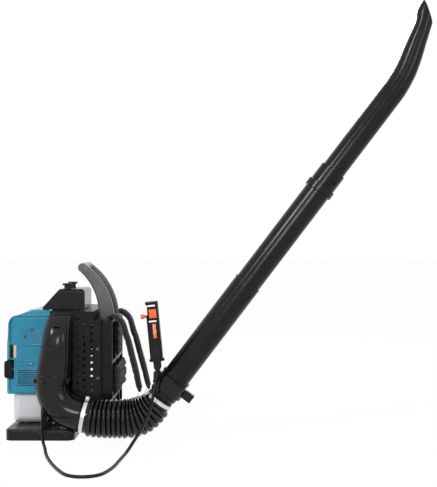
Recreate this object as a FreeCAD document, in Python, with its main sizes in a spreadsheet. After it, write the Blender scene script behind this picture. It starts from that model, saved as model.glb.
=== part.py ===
"""Backpack leaf blower, in millimetres: +X is the way the operator faces, +Y their left, +Z up.

The origin is the middle of the foot print, on the floor.
"""
import FreeCAD, Part
import Sketcher
import math
import os
import re

doc = FreeCAD.newDocument("backpack_blower")
sheet = doc.addObject("Spreadsheet::Sheet", "Sizes")
places = doc.addObject("App::VarSet", "Places")
Vector = FreeCAD.Vector
Rotation = FreeCAD.Rotation
Placement = FreeCAD.Placement
homes = {}
nodes = []

SIZES = {
    # clearances between pieces
    "running_gap": 0.05, "fit_gap": 0.3, "part_gap": 1.0,
    # base plate and the springs under the engine
    "base_rear": -155, "base_front": 36, "base_side": 200, "base_height": 31, "base_wall": 5,
    "base_top_wall": 9, "base_corner": 22, "base_chamfer": 6,
    "spring_radius": 12, "spring_wire": 3, "spring_turns": 5, "spring_side": 122,
    "spring_rear": -26, "spring_front": 12, "cradle_bottom": 66, "cradle_side": 136,
    # back frame, pads and carry handle
    "frame_back": 107, "frame_front": 135, "frame_side": 140, "frame_top": 328, "frame_waist": 120, "frame_web": 4,
    "frame_rib": 8, "foot_front": 155, "foot_side": 125, "notch_front": 75, "notch_height": 10,
    "pad_side": 50, "pad_low": 214, "pad_high": 322, "pad_depth": 18,
    "lumbar_side": 118, "lumbar_low": 108, "lumbar_high": 204, "lumbar_depth": 20,
    "handle_side": 58, "handle_reach": 69, "handle_rise": 145, "handle_foot_width": 46,
    "handle_top_width": 26, "handle_thick": 22, "handle_bar_radius": 13,
    # shoulder straps
    "strap_width": 48, "strap_thick": 16, "strap_top_side": 94, "strap_end_side": 110,
    "strap_end_reach": 211, "strap_end_height": 124,
    "left_end_reach": 219, "left_end_height": 98, "webbing_width": 25, "webbing_thick": 2,
    "buckle_length": 34,
    # crank line and fan
    "crank_height": 215, "engine_place": -78, "shaft_radius": 8, "scroll_radius": 140,
    "scroll_rear": -39, "scroll_front": 25, "scroll_split": -7, "scroll_wall": 3,
    "shoulder_radius": 70, "inlet_radius": 85, "impeller_radius": 126, "impeller_disc": 4,
    "blade_count": 12, "blade_thick": 3, "hub_radius": 24,
    # intake guard
    "guard_front": 107, "guard_side": 150, "guard_low": 111, "guard_high": 353, "guard_step": 84, "guard_wall": 3,
    "guard_corner": 6, "hole_radius": 4, "hole_pitch": 20, "hole_rows": 11, "hole_columns": 3,
    # outlet duct, elbow and bellows
    "duct_side": -185, "duct_place": -27, "duct_radius": 45, "duct_wall": 3, "duct_foot": 151,
    "elbow_radius": 80, "elbow_drop": 12, "spigot_length": 38,
    "cuff_length": 22, "cuff_wall": 2, "band_width": 10, "band_thick": 1.2,
    "dip_radius": 260, "hose_level": 48, "rise_radius": 110.7, "hose_end_cuff": 20,
    "hose_radius": 54.5, "rib_depth": 7.5, "rib_count": 15, "hose_wall": 2,
    # swivel pipe and air tubes, with stations measured from the hose's end
    "tube_tilt": 52.8, "pipe_radius": 40, "pipe_wall": 3, "pipe_rim": 74, "rim_radius": 42.5,
    "end_cuff_radius": 37.5, "ring_start": 22, "ring_end": 58, "ring_thick": 6,
    "ear_reach": 72, "ear_width": 24, "ear_thick": 9, "ear_slit": 3,
    "tube_wall": 1.8, "tube_overlap": 45, "lower_radius": 38, "lower_end": 398,
    "middle_radius": 36, "middle_end": 786, "coupling_start": 714, "coupling_radius": 41,
    "coupling_width": 20, "sleeve_wall": 4, "nozzle_radius": 32.5, "nozzle_straight": 1054,
    "bend_radius": 338, "bend_turn": 18, "tip_length": 161, "tip_half_height": 22,
    "tip_half_width": 38, "mouth_tilt": 20, "pin_radius": 3, "pin_stand": 2.5,
    "pin_back": 30, "lock_turn": 40,
    # control handle
    "grip_place": 267, "grip_side": -215, "grip_foot": 223, "grip_length": 163, "grip_lean": 5.5,
    "grip_half_width": 17, "grip_half_depth": 20, "grip_wall": 2.5, "flange_radius": 20,
    "pivot_height": 207, "pivot_radius": 10, "knuckle_width": 14, "clevis_thick": 4,
    "pivot_pin_radius": 3, "boot_top_radius": 9, "boot_end_radius": 6.5,
    "switch_low": 113, "switch_high": 150, "switch_width": 20, "rocker_margin": 7,
    "trigger_low": 62, "trigger_high": 104, "trigger_width": 9, "trigger_stand": 6,
    "cruise_height": 124, "cruise_radius": 5,
    # throttle cable
    "cable_radius": 4.35,
    # engine cover and fuel tank
    "cover_rear": -172, "cover_front": -45, "cover_side": 120, "cover_low": 115, "cover_high": 356,
    "cover_wall": 2.5, "cover_edge": 30, "gland_place": -55, "gland_half": 8, "gland_side": -156, "recess_side": -108,
    "recess_radius": 30, "recess_floor": -146, "tank_rear": -152, "tank_front": -47,
    "tank_side": 110, "tank_edge": 22, "tank_wall": 2.5, "neck_radius": 18, "cap_radius": 26,
    "cap_length": 20, "neck_place": -98, "neck_height": 84,
    # engine
    "case_radius": 48, "case_rear": -104, "case_front": -52, "case_wall": 8, "seat_height": 250,
    "crank_throw": 19, "web_radius": 33, "web_thick": 10, "rod_thick": 9, "rod_length": 66,
    "crank_pin_radius": 6.5, "wrist_pin_radius": 4, "bore_radius": 22, "piston_crown": 12,
    "piston_skirt": 12, "fin_side": 28, "fin_depth": 39, "fin_count": 7, "fin_pitch": 9,
    "fin_thick": 2.5, "barrel_wall": 4, "bearing_radius": 16, "flywheel_radius": 45,
    "flywheel_rear": -126, "flywheel_front": -112, "starter_rear": -158, "starter_front": -130,
    "starter_radius": 56, "pulley_radius": 33, "rope_circle": 29, "pulley_width": 10,
    "rope_radius": 1.8, "grip_height": 50, "grip_depth": 24, "muffler_depth": 60,
    "muffler_half_length": 28, "plug_radius": 6, "carb_side": -56, "carb_place": -60,
    "carb_half": 14, "carb_low": 316, "carb_bore": 9, "throttle_radius": 2.5,
    # air cleaner
    "cleaner_rear": -74, "cleaner_front": 48, "cleaner_side": 70, "cleaner_low": 358,
    "cleaner_high": 412, "cleaner_wall": 2.5, "cleaner_edge": 12, "knob_place": -5,
    "knob_side": 50, "knob_radius": 13, "knob_height": 15, "stud_radius": 3,
    "element_wall": 12, "choke_place": -46, "primer_place": -110, "primer_height": 185,
    "primer_radius": 8, "primer_rise": 6,
    # fasteners
    "screw_radius": 4, "screw_head": 2.5,
}


def bound(expression):
    """The expression with each size's or place's name led by the object that holds it."""
    return re.sub(r"[a-z]\w*", lambda word: homes.get(word.group(), "") + word.group(), str(expression))


for row, (alias, value) in enumerate(SIZES.items(), start=1):
    sheet.set("A%d" % row, alias)
    sheet.set("B%d" % row, str(value))
    sheet.setAlias("B%d" % row, alias)
    homes[alias] = "Sizes."
doc.recompute()
gauge = doc.addObject("App::VarSet", "Gauge")
gauge.addProperty("App::PropertyFloat", "reading")


def num(expression):
    """The value of an expression in the sheet's names."""
    gauge.setExpression("reading", bound(expression))
    gauge.recompute()
    return gauge.reading


def place(name, expression):
    """A place worked out from the sizes, under a name of its own."""
    places.addProperty("App::PropertyFloat", name)
    places.setExpression(name, bound(expression))
    places.recompute()
    homes[name] = "Places."


# places along the duct's line, which lies in one upright plane
place("elbow_x", "duct_place + elbow_radius")
place("spigot_x", "elbow_x - elbow_radius * sin(elbow_drop)")
place("spigot_z", "duct_foot - elbow_radius * cos(elbow_drop)")
place("hose_x", "spigot_x + spigot_length * cos(elbow_drop)")
place("hose_z", "spigot_z - spigot_length * sin(elbow_drop)")
place("dip_x", "hose_x + dip_radius * sin(elbow_drop)")
place("dip_z", "hose_z - dip_radius * (1 - cos(elbow_drop))")
place("pipe_x", "dip_x + hose_level + rise_radius * sin(tube_tilt) + hose_end_cuff * cos(tube_tilt)")
place("pipe_z", "dip_z + rise_radius * (1 - cos(tube_tilt)) + hose_end_cuff * sin(tube_tilt)")
place("hose_inside", "duct_radius + fit_gap")
place("inner_cuff_radius", "end_cuff_radius - cuff_wall - fit_gap")
place("socket_radius", "lower_radius + fit_gap")
place("recess_height", "crank_height - rope_circle")
place("scroll_top", "crank_height + scroll_radius")
place("pin_station", "lower_end - pin_back")
place("nozzle_pin_station", "middle_end - pin_back")


def bind(thing, **settings):
    for name, expression in settings.items():
        thing.setExpression(name, bound(expression))


def stand(thing, base=(0, 0, 0), axis=None, angle=None):
    """Places a thing at expressions for its base, turned about an axis."""
    if axis:
        thing.Placement = Placement(Vector(), Rotation(Vector(*axis), 1))
        thing.setExpression("Placement.Rotation.Angle", bound(angle))
    for letter, expression in zip("xyz", base):
        thing.setExpression("Placement.Base." + letter, bound(expression))
    return thing


def box(name, xs, ys, zs):
    thing = doc.addObject("Part::Box", name)
    spans = ["(%s) - (%s)" % (high, low) for low, high in (xs, ys, zs)]
    bind(thing, Length=spans[0], Width=spans[1], Height=spans[2])
    return stand(thing, (xs[0], ys[0], zs[0]))


TURNS = {"x": ((0, 1, 0), 90), "y": ((1, 0, 0), -90), "z": (None, None)}


def rod(name, radius, low, high, centre, along="z"):
    """A cylinder from low to high along an axis, about the other two coordinates of centre."""
    thing = doc.addObject("Part::Cylinder", name)
    bind(thing, Radius=radius, Height="(%s) - (%s)" % (high, low))
    base = list(centre)
    base["xyz".index(along)] = low
    axis, angle = TURNS[along]
    return stand(thing, base, axis, angle)


def join(name, *things):
    whole = doc.addObject("Part::MultiFuse", name)
    whole.Shapes = list(things)
    return whole


def less(name, base, *tools):
    """The base with each tool cut away."""
    whole = doc.addObject("Part::Cut", name)
    whole.Base = base
    whole.Tool = tools[0] if len(tools) == 1 else join(name + "Tools", *tools)
    return whole


def both(name, *things):
    """What all the things have in common."""
    whole = doc.addObject("Part::MultiCommon", name)
    whole.Shapes = list(things)
    return whole


def group(name, *things):
    whole = doc.addObject("Part::Compound", name)
    whole.Links = list(things)
    return whole


def fixed(name, shape):
    whole = doc.addObject("Part::Feature", name)
    whole.Shape = shape
    return whole


def softened(name, base, radius, picks):
    """Fillets of one radius along the base's edges that picks says yes to."""
    doc.recompute()
    size = num(radius)
    whole = doc.addObject("Part::Fillet", name)
    whole.Base = base
    whole.Edges = [(n, size, size) for n, edge in enumerate(base.Shape.Edges, start=1) if picks(edge)]
    return whole


def upright(edge):
    return edge.BoundBox.ZLength > 0.9 * edge.Length


def node(name, thing):
    thing.Label = name
    nodes.append((name, thing))
    return thing


def rounded(points):
    """A closed wire through (x, y, radius) corners, each rounded by its radius."""
    edges = []
    ends = []
    count = len(points)
    for n, (x, y, radius) in enumerate(points):
        corner = Vector(x, y, 0)
        back = Vector(*points[n - 1][:2], 0) - corner
        onward = Vector(*points[(n + 1) % count][:2], 0) - corner
        half = back.getAngle(onward) / 2
        reach = radius / math.tan(half)
        start = corner + back.normalize() * reach
        end = corner + onward.normalize() * reach
        towards = (back + onward).normalize()
        middle = corner + towards * (radius / math.sin(half) - radius)
        ends.append((start, end))
        edges.append(Part.Arc(start, middle, end).toShape())
    loop = []
    for n, edge in enumerate(edges):
        loop.append(edge)
        gap = (ends[n][1], ends[(n + 1) % count][0])
        if gap[0].distanceToPoint(gap[1]) > 1e-6:
            loop.append(Part.makeLine(*gap))
    return Part.Wire(loop)


FACES = {
    "x": Rotation(Vector(0, 1, 0), Vector(0, 0, 1), Vector(1, 0, 0), "ZXY"),
    "y": Rotation(Vector(1, 0, 0), Vector(0, 0, 1), Vector(0, -1, 0), "ZXY"),
    "z": Rotation(),
}


def slab(name, along, points, low, high):
    """A rounded outline extruded along an axis; points are (across, up, radius) expressions."""
    wire = rounded([[num(part) for part in point] for point in points])
    face = Part.Face(wire)
    face.Placement = Placement(Vector(), FACES[along])
    drawing = fixed(name + "Outline", face)
    thing = doc.addObject("Part::Extrusion", name)
    thing.Base = drawing
    thing.DirMode = "Custom"
    thing.Dir = Vector(*[float(letter == along) for letter in "xyz"])
    thing.Solid = True
    bind(thing, LengthFwd="(%s) - (%s)" % (high, low))
    return stand(thing, [low if letter == along else 0 for letter in "xyz"])


def turned(name, points, base=(0, 0, 0), axis=None, angle=None):
    """A body turned from a profile of (radius, station) expressions about its own Z axis."""
    body = doc.addObject("PartDesign::Body", name)
    sketch = body.newObject("Sketcher::SketchObject", name + "Profile")
    plane = [thing for thing in body.Origin.OriginFeatures if thing.Role == "XZ_Plane"][0]
    sketch.AttachmentSupport = [(plane, "")]
    sketch.MapMode = "FlatFace"
    spots = [(num(radius), num(station)) for radius, station in points]
    for n, spot in enumerate(spots):
        after = spots[(n + 1) % len(spots)]
        sketch.addGeometry(Part.LineSegment(Vector(*spot, 0), Vector(*after, 0)), False)
    for n in range(len(spots)):
        sketch.addConstraint(Sketcher.Constraint("Coincident", n, 2, (n + 1) % len(spots), 1))
    for n, (radius, station) in enumerate(points):
        for kind, value, expression in (("DistanceX", spots[n][0], radius),
                                        ("DistanceY", spots[n][1], station)):
            place_of = sketch.addConstraint(Sketcher.Constraint(kind, -1, 1, n, 1, value))
            if str(expression) != "0":
                sketch.setExpression("Constraints[%d]" % place_of, bound(expression))
    turn = body.newObject("PartDesign::Revolution", name + "Turn")
    turn.Profile = sketch
    turn.ReferenceAxis = (sketch, ["V_Axis"])
    turn.Angle = 360
    return stand(body, base, axis, angle)


def duct_frame(name, thing):
    """Stands a thing made along its own Z axis on the air tubes' line."""
    return stand(thing, ("pipe_x", "duct_side", "pipe_z"), (0, 1, 0), "90 - tube_tilt")


def on_tube(station, across=0.0, side=0.0):
    """The point at a station of the tubes' line, across it upwards and to its side."""
    tilt = math.radians(num("tube_tilt"))
    return Vector(num("pipe_x") + station * math.cos(tilt) - across * math.sin(tilt),
                  num("duct_side") + side,
                  num("pipe_z") + station * math.sin(tilt) + across * math.cos(tilt))


def make_base():
    outer = box("BaseBlock", ("base_rear", "base_front"), ("-base_side", "base_side"), (0, "base_height"))
    outer = softened("BaseCorners", outer, "base_corner", upright)
    outer = softened("BaseTop", outer, "base_chamfer",
                     lambda edge: edge.BoundBox.ZMin > num("base_height") - 0.01)
    hollow = box("BaseHollow", ("base_rear + base_wall", "base_front - base_wall"),
                 ("base_wall - base_side", "base_side - base_wall"), (-1, "base_height - base_top_wall"))
    hollow = softened("BaseHollowCorners", hollow, "base_corner - base_wall", upright)
    cradle = doc.addObject("Part::Torus", "BaseCradle")
    bind(cradle, Radius1="elbow_radius", Radius2="duct_radius + part_gap")
    stand(cradle, ("elbow_x", "duct_side", "duct_foot"), (1, 0, 0), 90)
    shell = less("BaseShell", outer, hollow, cradle)
    keel = box("BaseKeel", ("base_rear + base_wall", "base_front - base_wall"),
               ("-base_wall", "base_wall"), (0, "base_height - base_top_wall"))
    node("base_plate", join("BasePlate", shell, keel))


def biarc(start, leave, end, arrive):
    """Two arcs that meet smoothly, from a start and its heading to an end and its heading."""
    run, lean = end - start, leave + arrive
    turn = 2 * (1 - leave.dot(arrive))
    reach = (math.sqrt(run.dot(lean) ** 2 + turn * run.dot(run)) - run.dot(lean)) / turn
    corners = (start + leave * reach, end - arrive * reach)
    middle = (corners[0] + corners[1]) / 2
    arcs = []
    for low, corner, high in ((start, corners[0], middle), (middle, corners[1], end)):
        back, onward = low - corner, high - corner
        half = back.getAngle(onward) / 2
        radius = back.Length * math.tan(half)
        towards = (back.normalize() + onward.normalize()).normalize()
        crest = corner + towards * (radius / math.sin(half) - radius)
        arcs.append(Part.Arc(low, crest, high).toShape())
    return arcs


def coil(radius, wire, turns, low, high):
    """An open coil of round wire between two heights, of biarcs that are a quarter turn each."""
    foot = low + wire / 2 * 1.02
    pitch = (high - low - wire * 1.02) / turns
    print("coil gap between turns %.2f" % (pitch * math.cos(math.atan2(pitch, 2 * math.pi * radius)) - wire))
    edges = []
    for n in range(int(turns * 4)):
        ends = []
        for quarter in (n, n + 1):
            angle = math.pi / 2 * quarter
            spot = Vector(radius * math.cos(angle), radius * math.sin(angle), foot + pitch * quarter / 4)
            heading = Vector(-radius * math.sin(angle), radius * math.cos(angle), pitch / (2 * math.pi))
            ends += [spot, heading.normalize()]
        edges += biarc(*ends)
    section_wire = Part.Wire(Part.Circle(edges[0].valueAt(edges[0].FirstParameter),
                                         edges[0].tangentAt(edges[0].FirstParameter), wire / 2).toShape())
    return Part.Wire(edges).makePipeShell([section_wire], True, False)


def make_springs():
    springs = []
    for x in ("spring_rear", "spring_front"):
        for side in (-1, 1):
            spring = coil(num("spring_radius") - num("spring_wire") / 2, num("spring_wire"),
                          num("spring_turns"), num("base_height"), num("cradle_bottom"))
            spring.translate(Vector(num(x), side * num("spring_side"), 0))
            springs.append(spring)
    node("anti_vibration_springs", fixed("Springs", Part.makeCompound(springs)))
    scroll = slab("CradleScroll", "x", scroll_outline(0), "scroll_rear - 1", "scroll_front + 1")
    block = box("CradleBlock", ("scroll_rear", "scroll_front"), ("-cradle_side", "cradle_side"),
                ("cradle_bottom", "cradle_bottom + 34"))
    node("engine_cradle", less("Cradle", block, scroll))


def scroll_outline(inset):
    """The fan housing's outline across the crank: round, with a shoulder over the outlet."""
    reach = "scroll_radius - %s" % inset
    shoulder = "shoulder_radius - %s" % inset
    return [("-(%s)" % reach, "crank_height + %s" % reach, shoulder),
            ("-(%s)" % reach, "crank_height - (%s)" % reach, "%s - 0.5" % reach),
            (reach, "crank_height - (%s)" % reach, "%s - 0.5" % reach),
            (reach, "crank_height + %s" % reach, "%s - 0.5" % reach)]


def make_fan_housing():
    window = box("OutletWindow", ("scroll_rear + 5", "scroll_front - 5"),
                 ("-scroll_radius - 1", "-scroll_radius + 20"),
                 ("crank_height - 20", "crank_height + 80"))
    rear = slab("ScrollRear", "x", scroll_outline(0), "scroll_rear", "scroll_split")
    rear_hollow = slab("ScrollRearHollow", "x", scroll_outline("scroll_wall"),
                       "scroll_rear + scroll_wall", "scroll_split + 1")
    shaft_hole = rod("ScrollShaftHole", "hub_radius - 4", "scroll_rear - 1", "scroll_rear + 10",
                     (0, 0, "crank_height"), "x")
    node("fan_housing_rear", less("FanRear", rear, rear_hollow, shaft_hole, window))
    front = slab("ScrollFront", "x", scroll_outline(0), "scroll_split", "scroll_front")
    front_hollow = slab("ScrollFrontHollow", "x", scroll_outline("scroll_wall"),
                        "scroll_split - 1", "scroll_front - scroll_wall")
    inlet = rod("ScrollInlet", "inlet_radius", "scroll_front - 10", "scroll_front + 1",
                (0, 0, "crank_height"), "x")
    node("fan_housing_front", less("FanFront", front, front_hollow, inlet, window))


def make_impeller():
    """The fan: a back disc, a hub on the shaft and upright blades, in one piece."""
    back = num("scroll_rear + scroll_wall + 3")
    front = num("scroll_front - scroll_wall - 4")
    start = num("hub_radius") + 16
    reach = num("impeller_radius")
    count = int(num("blade_count"))
    axis = Vector(1, 0, 0)
    solid = Part.makeCylinder(reach, num("impeller_disc"), Vector(back, 0, 0), axis)
    solid = solid.fuse(Part.makeCylinder(num("hub_radius"), front - 8 - back, Vector(back, 0, 0), axis))
    for n in range(count):
        blade = Part.makeBox(front - back, num("blade_thick"), reach - 1 - start)
        blade.translate(Vector(back, -num("blade_thick") / 2, start))
        blade.rotate(Vector(), axis, 360 * n / count)
        solid = solid.fuse(blade)
    bore = Part.makeCylinder(num("shaft_radius + running_gap"), front - back + 2, Vector(back - 1, 0, 0), axis)
    fan = fixed("Fan", solid.cut(bore).removeSplitter())
    node("impeller", stand(fan, (0, 0, "crank_height")))


def make_crank():
    """The crank's two halves with full round webs; the crank pin goes with the rod."""
    gap = "(rod_thick / 2 + 0.8)"
    centre = (0, 0, "crank_height")
    rear_web = rod("RearWeb", "web_radius", "engine_place - %s - web_thick" % gap,
                   "engine_place - %s" % gap, centre, "x")
    rear_shaft = rod("RearShaft", "shaft_radius", "flywheel_rear - 3",
                     "engine_place - %s - web_thick + 1" % gap, centre, "x")
    front_web = rod("FrontWeb", "web_radius", "engine_place + %s" % gap,
                    "engine_place + %s + web_thick" % gap, centre, "x")
    front_shaft = rod("FrontShaft", "shaft_radius", "engine_place + %s + web_thick - 1" % gap,
                      "scroll_front - scroll_wall - 8", centre, "x")
    node("crankshaft", group("Crank", join("CrankRear", rear_web, rear_shaft),
                             join("CrankFront", front_web, front_shaft)))
    wheel = rod("WheelDisc", "flywheel_radius", "flywheel_rear", "flywheel_front", centre, "x")
    bore = rod("WheelBore", "shaft_radius + running_gap", "flywheel_rear - 1", "flywheel_front + 1",
               centre, "x")
    dish = rod("WheelDish", "flywheel_radius - 10", "flywheel_rear - 1", "flywheel_rear + 6", centre, "x")
    boss = rod("WheelBoss", "shaft_radius + 7", "flywheel_rear", "flywheel_front", centre, "x")
    node("flywheel", less("Flywheel", join("WheelBody", less("WheelDished", wheel, dish), boss), bore))


def make_crankcase():
    centre = (0, 0, "crank_height")
    drum = rod("CaseDrum", "case_radius", "case_rear", "case_front", centre, "x")
    seat = box("CaseSeat", ("case_rear", "case_front"), ("-fin_side - 4", "fin_side + 4"),
               ("crank_height", "seat_height"))
    nose = rod("CaseNose", "bearing_radius + 12", "case_front - 1", "scroll_rear", centre, "x")
    flange = rod("CaseFlange", "starter_radius + 2", "case_rear", "case_rear + 5", centre, "x")
    cavity = rod("CaseCavity", "web_radius + 3", "case_rear + case_wall", "case_front - case_wall",
                 centre, "x")
    bores = rod("CaseBores", "bearing_radius", "case_rear - 1", "scroll_rear + 1", centre, "x")
    throat = rod("CaseThroat", "bore_radius", "crank_height", "seat_height + 1", ("engine_place", 0, 0))
    above = box("CaseAbove", ("case_rear - 1", "case_front + 1"), ("-starter_radius - 5", "starter_radius + 5"),
                ("seat_height", "seat_height + 40"))
    node("crankcase", less("Crankcase", join("CaseBody", drum, seat, nose, flange), cavity, bores, throat, above))
    rings = []
    for n, low in enumerate(("case_rear", "case_front - case_wall")):
        outer = rod("BearingOuter%d" % n, "bearing_radius", low, low + " + case_wall", centre, "x")
        inner = rod("BearingBore%d" % n, "shaft_radius + running_gap", low + " - 1",
                    low + " + case_wall + 1", centre, "x")
        rings.append(less("Bearing%d" % n, outer, inner))
    node("crank_bearings", group("Bearings", *rings))


def make_piston():
    """The piston with its wrist pin, the rod and the crank pin, at the top of the stroke."""
    centre = ("engine_place", 0, 0)
    place("wrist_height", "crank_height + crank_throw + rod_length")
    crown = rod("PistonBody", "bore_radius - running_gap", "wrist_height - piston_skirt",
                "wrist_height + piston_crown", centre)
    inside = rod("PistonInside", "bore_radius - 4", "wrist_height - piston_skirt - 1",
                 "wrist_height + piston_crown - 4", centre)
    pin_hole = rod("PistonPinHole", "wrist_pin_radius", "engine_place - bore_radius",
                   "engine_place + bore_radius", (0, 0, "wrist_height"), "x")
    skirt = less("PistonSkirt", crown, inside, pin_hole)
    wrist = rod("WristPin", "wrist_pin_radius", "engine_place - bore_radius + 2",
                "engine_place + bore_radius - 2", (0, 0, "wrist_height"), "x")
    node("piston", group("Piston", skirt, wrist))
    low, high = "engine_place - rod_thick / 2", "engine_place + rod_thick / 2"
    big_end = rod("BigEnd", "crank_pin_radius + 6", low, high, (0, 0, "crank_height + crank_throw"), "x")
    small_end = rod("SmallEnd", "wrist_pin_radius + 2.5", low, high, (0, 0, "wrist_height"), "x")
    beam = box("RodBeam", ("engine_place - rod_thick / 4", "engine_place + rod_thick / 4"), (-6, 6),
               ("crank_height + crank_throw", "wrist_height"))
    hole = rod("SmallEndHole", "wrist_pin_radius + running_gap", low + " - 1", high + " + 1",
               (0, 0, "wrist_height"), "x")
    crank_pin = rod("CrankPin", "crank_pin_radius", low + " - 0.7", high + " + 0.7",
                    (0, 0, "crank_height + crank_throw"), "x")
    node("connecting_rod", less("Rod", join("RodBody", big_end, small_end, beam, crank_pin), hole))


def make_cylinder():
    centre = ("engine_place", 0, 0)
    place("head_height", "crank_height + crank_throw + rod_length + piston_crown + 1.5")
    barrel = rod("Barrel", "bore_radius + barrel_wall", "seat_height", "head_height + 8", centre)
    parts = [barrel, box("BarrelFlange", ("case_rear + 3", "case_front - 3"), ("-fin_side", "fin_side"),
                         ("seat_height", "seat_height + 5"))]
    for n in range(int(num("fin_count"))):
        low = "seat_height + 12 + %d * fin_pitch" % n
        parts.append(box("Fin%d" % n, ("engine_place - fin_side", "engine_place + fin_side"),
                         ("-fin_depth", "fin_depth"), (low, low + " + fin_thick")))
    for n, (low, high) in enumerate((("-fin_depth - 4", 0), (0, "fin_depth + 4"))):
        parts.append(rod("Port%d" % n, "carb_bore + 3", low, high,
                         ("carb_place - 6", 0, "seat_height + 34"), "y"))
    parts.append(rod("PlugBoss", "plug_radius + 4", "head_height", "head_height + 14", centre))
    bore = rod("Bore", "bore_radius", "seat_height - 1", "head_height", centre)
    ports = rod("Ports", "carb_bore", "-fin_depth - 5", "fin_depth + 5",
                ("carb_place - 6", 0, "seat_height + 34"), "y")
    plug_hole = rod("PlugHole", "plug_radius + 0.05", "head_height - 1", "head_height + 15", centre)
    node("cylinder", less("Cylinder", join("CylinderBody", *parts), bore, ports, plug_hole))
    plug = rod("PlugThread", "plug_radius", "head_height + 2", "head_height + 14", centre)
    hexagon = rod("PlugHexagon", "plug_radius + 3", "head_height + 14", "head_height + 20", centre)
    cap = rod("PlugCap", "plug_radius + 1", "head_height + 20", "head_height + 34", centre)
    node("spark_plug", join("SparkPlug", plug, hexagon, cap))
    node("muffler", softened("Muffler", box("MufflerBox", ("engine_place - muffler_half_length",
                                                         "engine_place + muffler_half_length"),
                                            ("fin_depth + 4", "fin_depth + 4 + muffler_depth"),
                                            ("seat_height + 8", "seat_height + 66")), 8, upright))
    coil_low = "crank_height + flywheel_radius + 0.5"
    fins_rear = "engine_place - fin_side"
    block = box("CoilBlock", ("flywheel_rear + 1", fins_rear + " - 5.5"), (-14, 14),
                (coil_low, coil_low + " + 22"))
    strip = box("CoilStrip", (fins_rear + " - 5.5", fins_rear + " - 1"), (-10, 10),
                ("seat_height - 14", coil_low + " + 14"))
    lug = box("CoilLug", (fins_rear + " - 1.5", "case_rear"), (-10, 10), ("seat_height - 14", "seat_height"))
    node("ignition_coil", join("Coil", block, strip, lug))


def make_starter():
    centre = (0, 0, "crank_height")
    cup = rod("StarterCup", "starter_radius", "starter_rear", "starter_front", centre, "x")
    inside = rod("StarterInside", "starter_radius - 3", "starter_rear + 3", "starter_front + 1", centre, "x")
    post = rod("StarterPost", 5, "starter_rear + 1", "starter_front - 2", centre, "x")
    legs = []
    for n in range(3):
        leg = rod("StarterLeg%d" % n, 4, "starter_front - 3", "case_rear", (0, 0, 0), "x")
        angle = 30 + 120 * n
        stand(leg, ("starter_front - 3", "(starter_radius - 3.4) * cos(%d)" % angle,
                    "crank_height + (starter_radius - 3.4) * sin(%d)" % angle), (0, 1, 0), 90)
        legs.append(leg)
    exit_hole = rod("RopeHole", "rope_radius + 2", "recess_side", 0,
                    ("starter_rear + 3 + pulley_width / 2 + 5", 0, "recess_height"), "y")
    node("starter_housing", less("Starter", join("StarterBody", less("StarterShell", cup, inside),
                                                 post, *legs), exit_hole))
    pulley_rear = "starter_rear + 8"
    wheel = rod("PulleyDisc", "pulley_radius", pulley_rear, pulley_rear + " + pulley_width", centre, "x")
    groove = doc.addObject("Part::Torus", "PulleyGroove")
    bind(groove, Radius1="pulley_radius + 1", Radius2="pulley_width / 2 - 1.5")
    stand(groove, (pulley_rear + " + pulley_width / 2", 0, "crank_height"), (0, 1, 0), 90)
    bore = rod("PulleyBore", "5 + running_gap", pulley_rear + " - 1", pulley_rear + " + pulley_width + 1",
               centre, "x")
    node("starter_pulley", less("Pulley", wheel, groove, bore))
    grip = box("GripBar", ("recess_floor - grip_depth - 4", "recess_floor - 6"),
               ("recess_side - grip_depth / 2", "recess_side + grip_depth / 2"),
               ("recess_height - grip_height / 2", "recess_height + grip_height / 2"))
    node("starter_grip", softened("Grip", grip, 8, lambda edge: edge.BoundBox.YLength > 5))
    node("starter_rope", rod("Rope", "rope_radius", "recess_floor - 6", "recess_floor + 8",
                             (0, "recess_side", "recess_height"), "x"))


def make_cover():
    """The engine cover: a shell that is open towards the fan, with the starter's recess."""
    def block(name, inset, front):
        rear, side = "cover_rear + %s" % inset, "cover_side - %s" % inset
        low, high = "cover_low + %s" % inset, "cover_high - %s" % inset
        edge = "cover_edge - %s" % inset
        profile = slab(name + "Side", "y", [(front, low, 1), (front, "%s - 6" % high, 3),
                                            ("cover_front - 43", high, 60),
                                            ("%s + 12" % rear, "%s - 24" % high, 40),
                                            (rear, "cover_low + 120", 60), (rear, low, 9)],
                       "-(%s)" % side, side)
        plan = slab(name + "Plan", "z", [(rear, "-(%s)" % side, edge), ("cover_front + 60", "-(%s)" % side, 5),
                                         ("cover_front + 60", side, 5), (rear, side, edge)], low, high)
        end = slab(name + "End", "x", [("-(%s)" % side, low, 9), (side, low, 9), (side, high, edge),
                                       ("-(%s)" % side, high, edge)], rear, front)
        return both(name, profile, plan, end)
    outer = block("CoverOuter", 0, "cover_front")
    inner = block("CoverInner", "cover_wall", "cover_front + 1")
    recess = rod("CoverRecess", "recess_radius", "cover_rear - 20", "recess_floor",
                 (0, "recess_side", "recess_height"), "x")
    cup = rod("RecessCup", "recess_radius + cover_wall", "cover_rear", "recess_floor + cover_wall",
              (0, "recess_side", "recess_height"), "x")
    wall = both("RecessWall", outer, cup)
    rope = rod("RecessRope", "rope_radius + 1", "recess_floor - 5", "recess_floor + 10",
               (0, "recess_side", "recess_height"), "x")
    notch = box("CoverNotch", ("cleaner_rear - 1", "cover_front + 5"), ("-cleaner_side - 1", "cleaner_side + 6"),
                ("cleaner_low - 16", "cover_high + 5"))
    bulb_hole = rod("CoverBulbHole", "primer_radius + fit_gap", "cover_side - 5", "cover_side + 1",
                    ("primer_place", 0, "primer_height"), "y")
    shell = less("CoverShell", outer, inner)
    shell = join("CoverWhole", shell, wall)
    node("engine_cover", less("Cover", shell, recess, rope, notch, bulb_hole))


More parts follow.
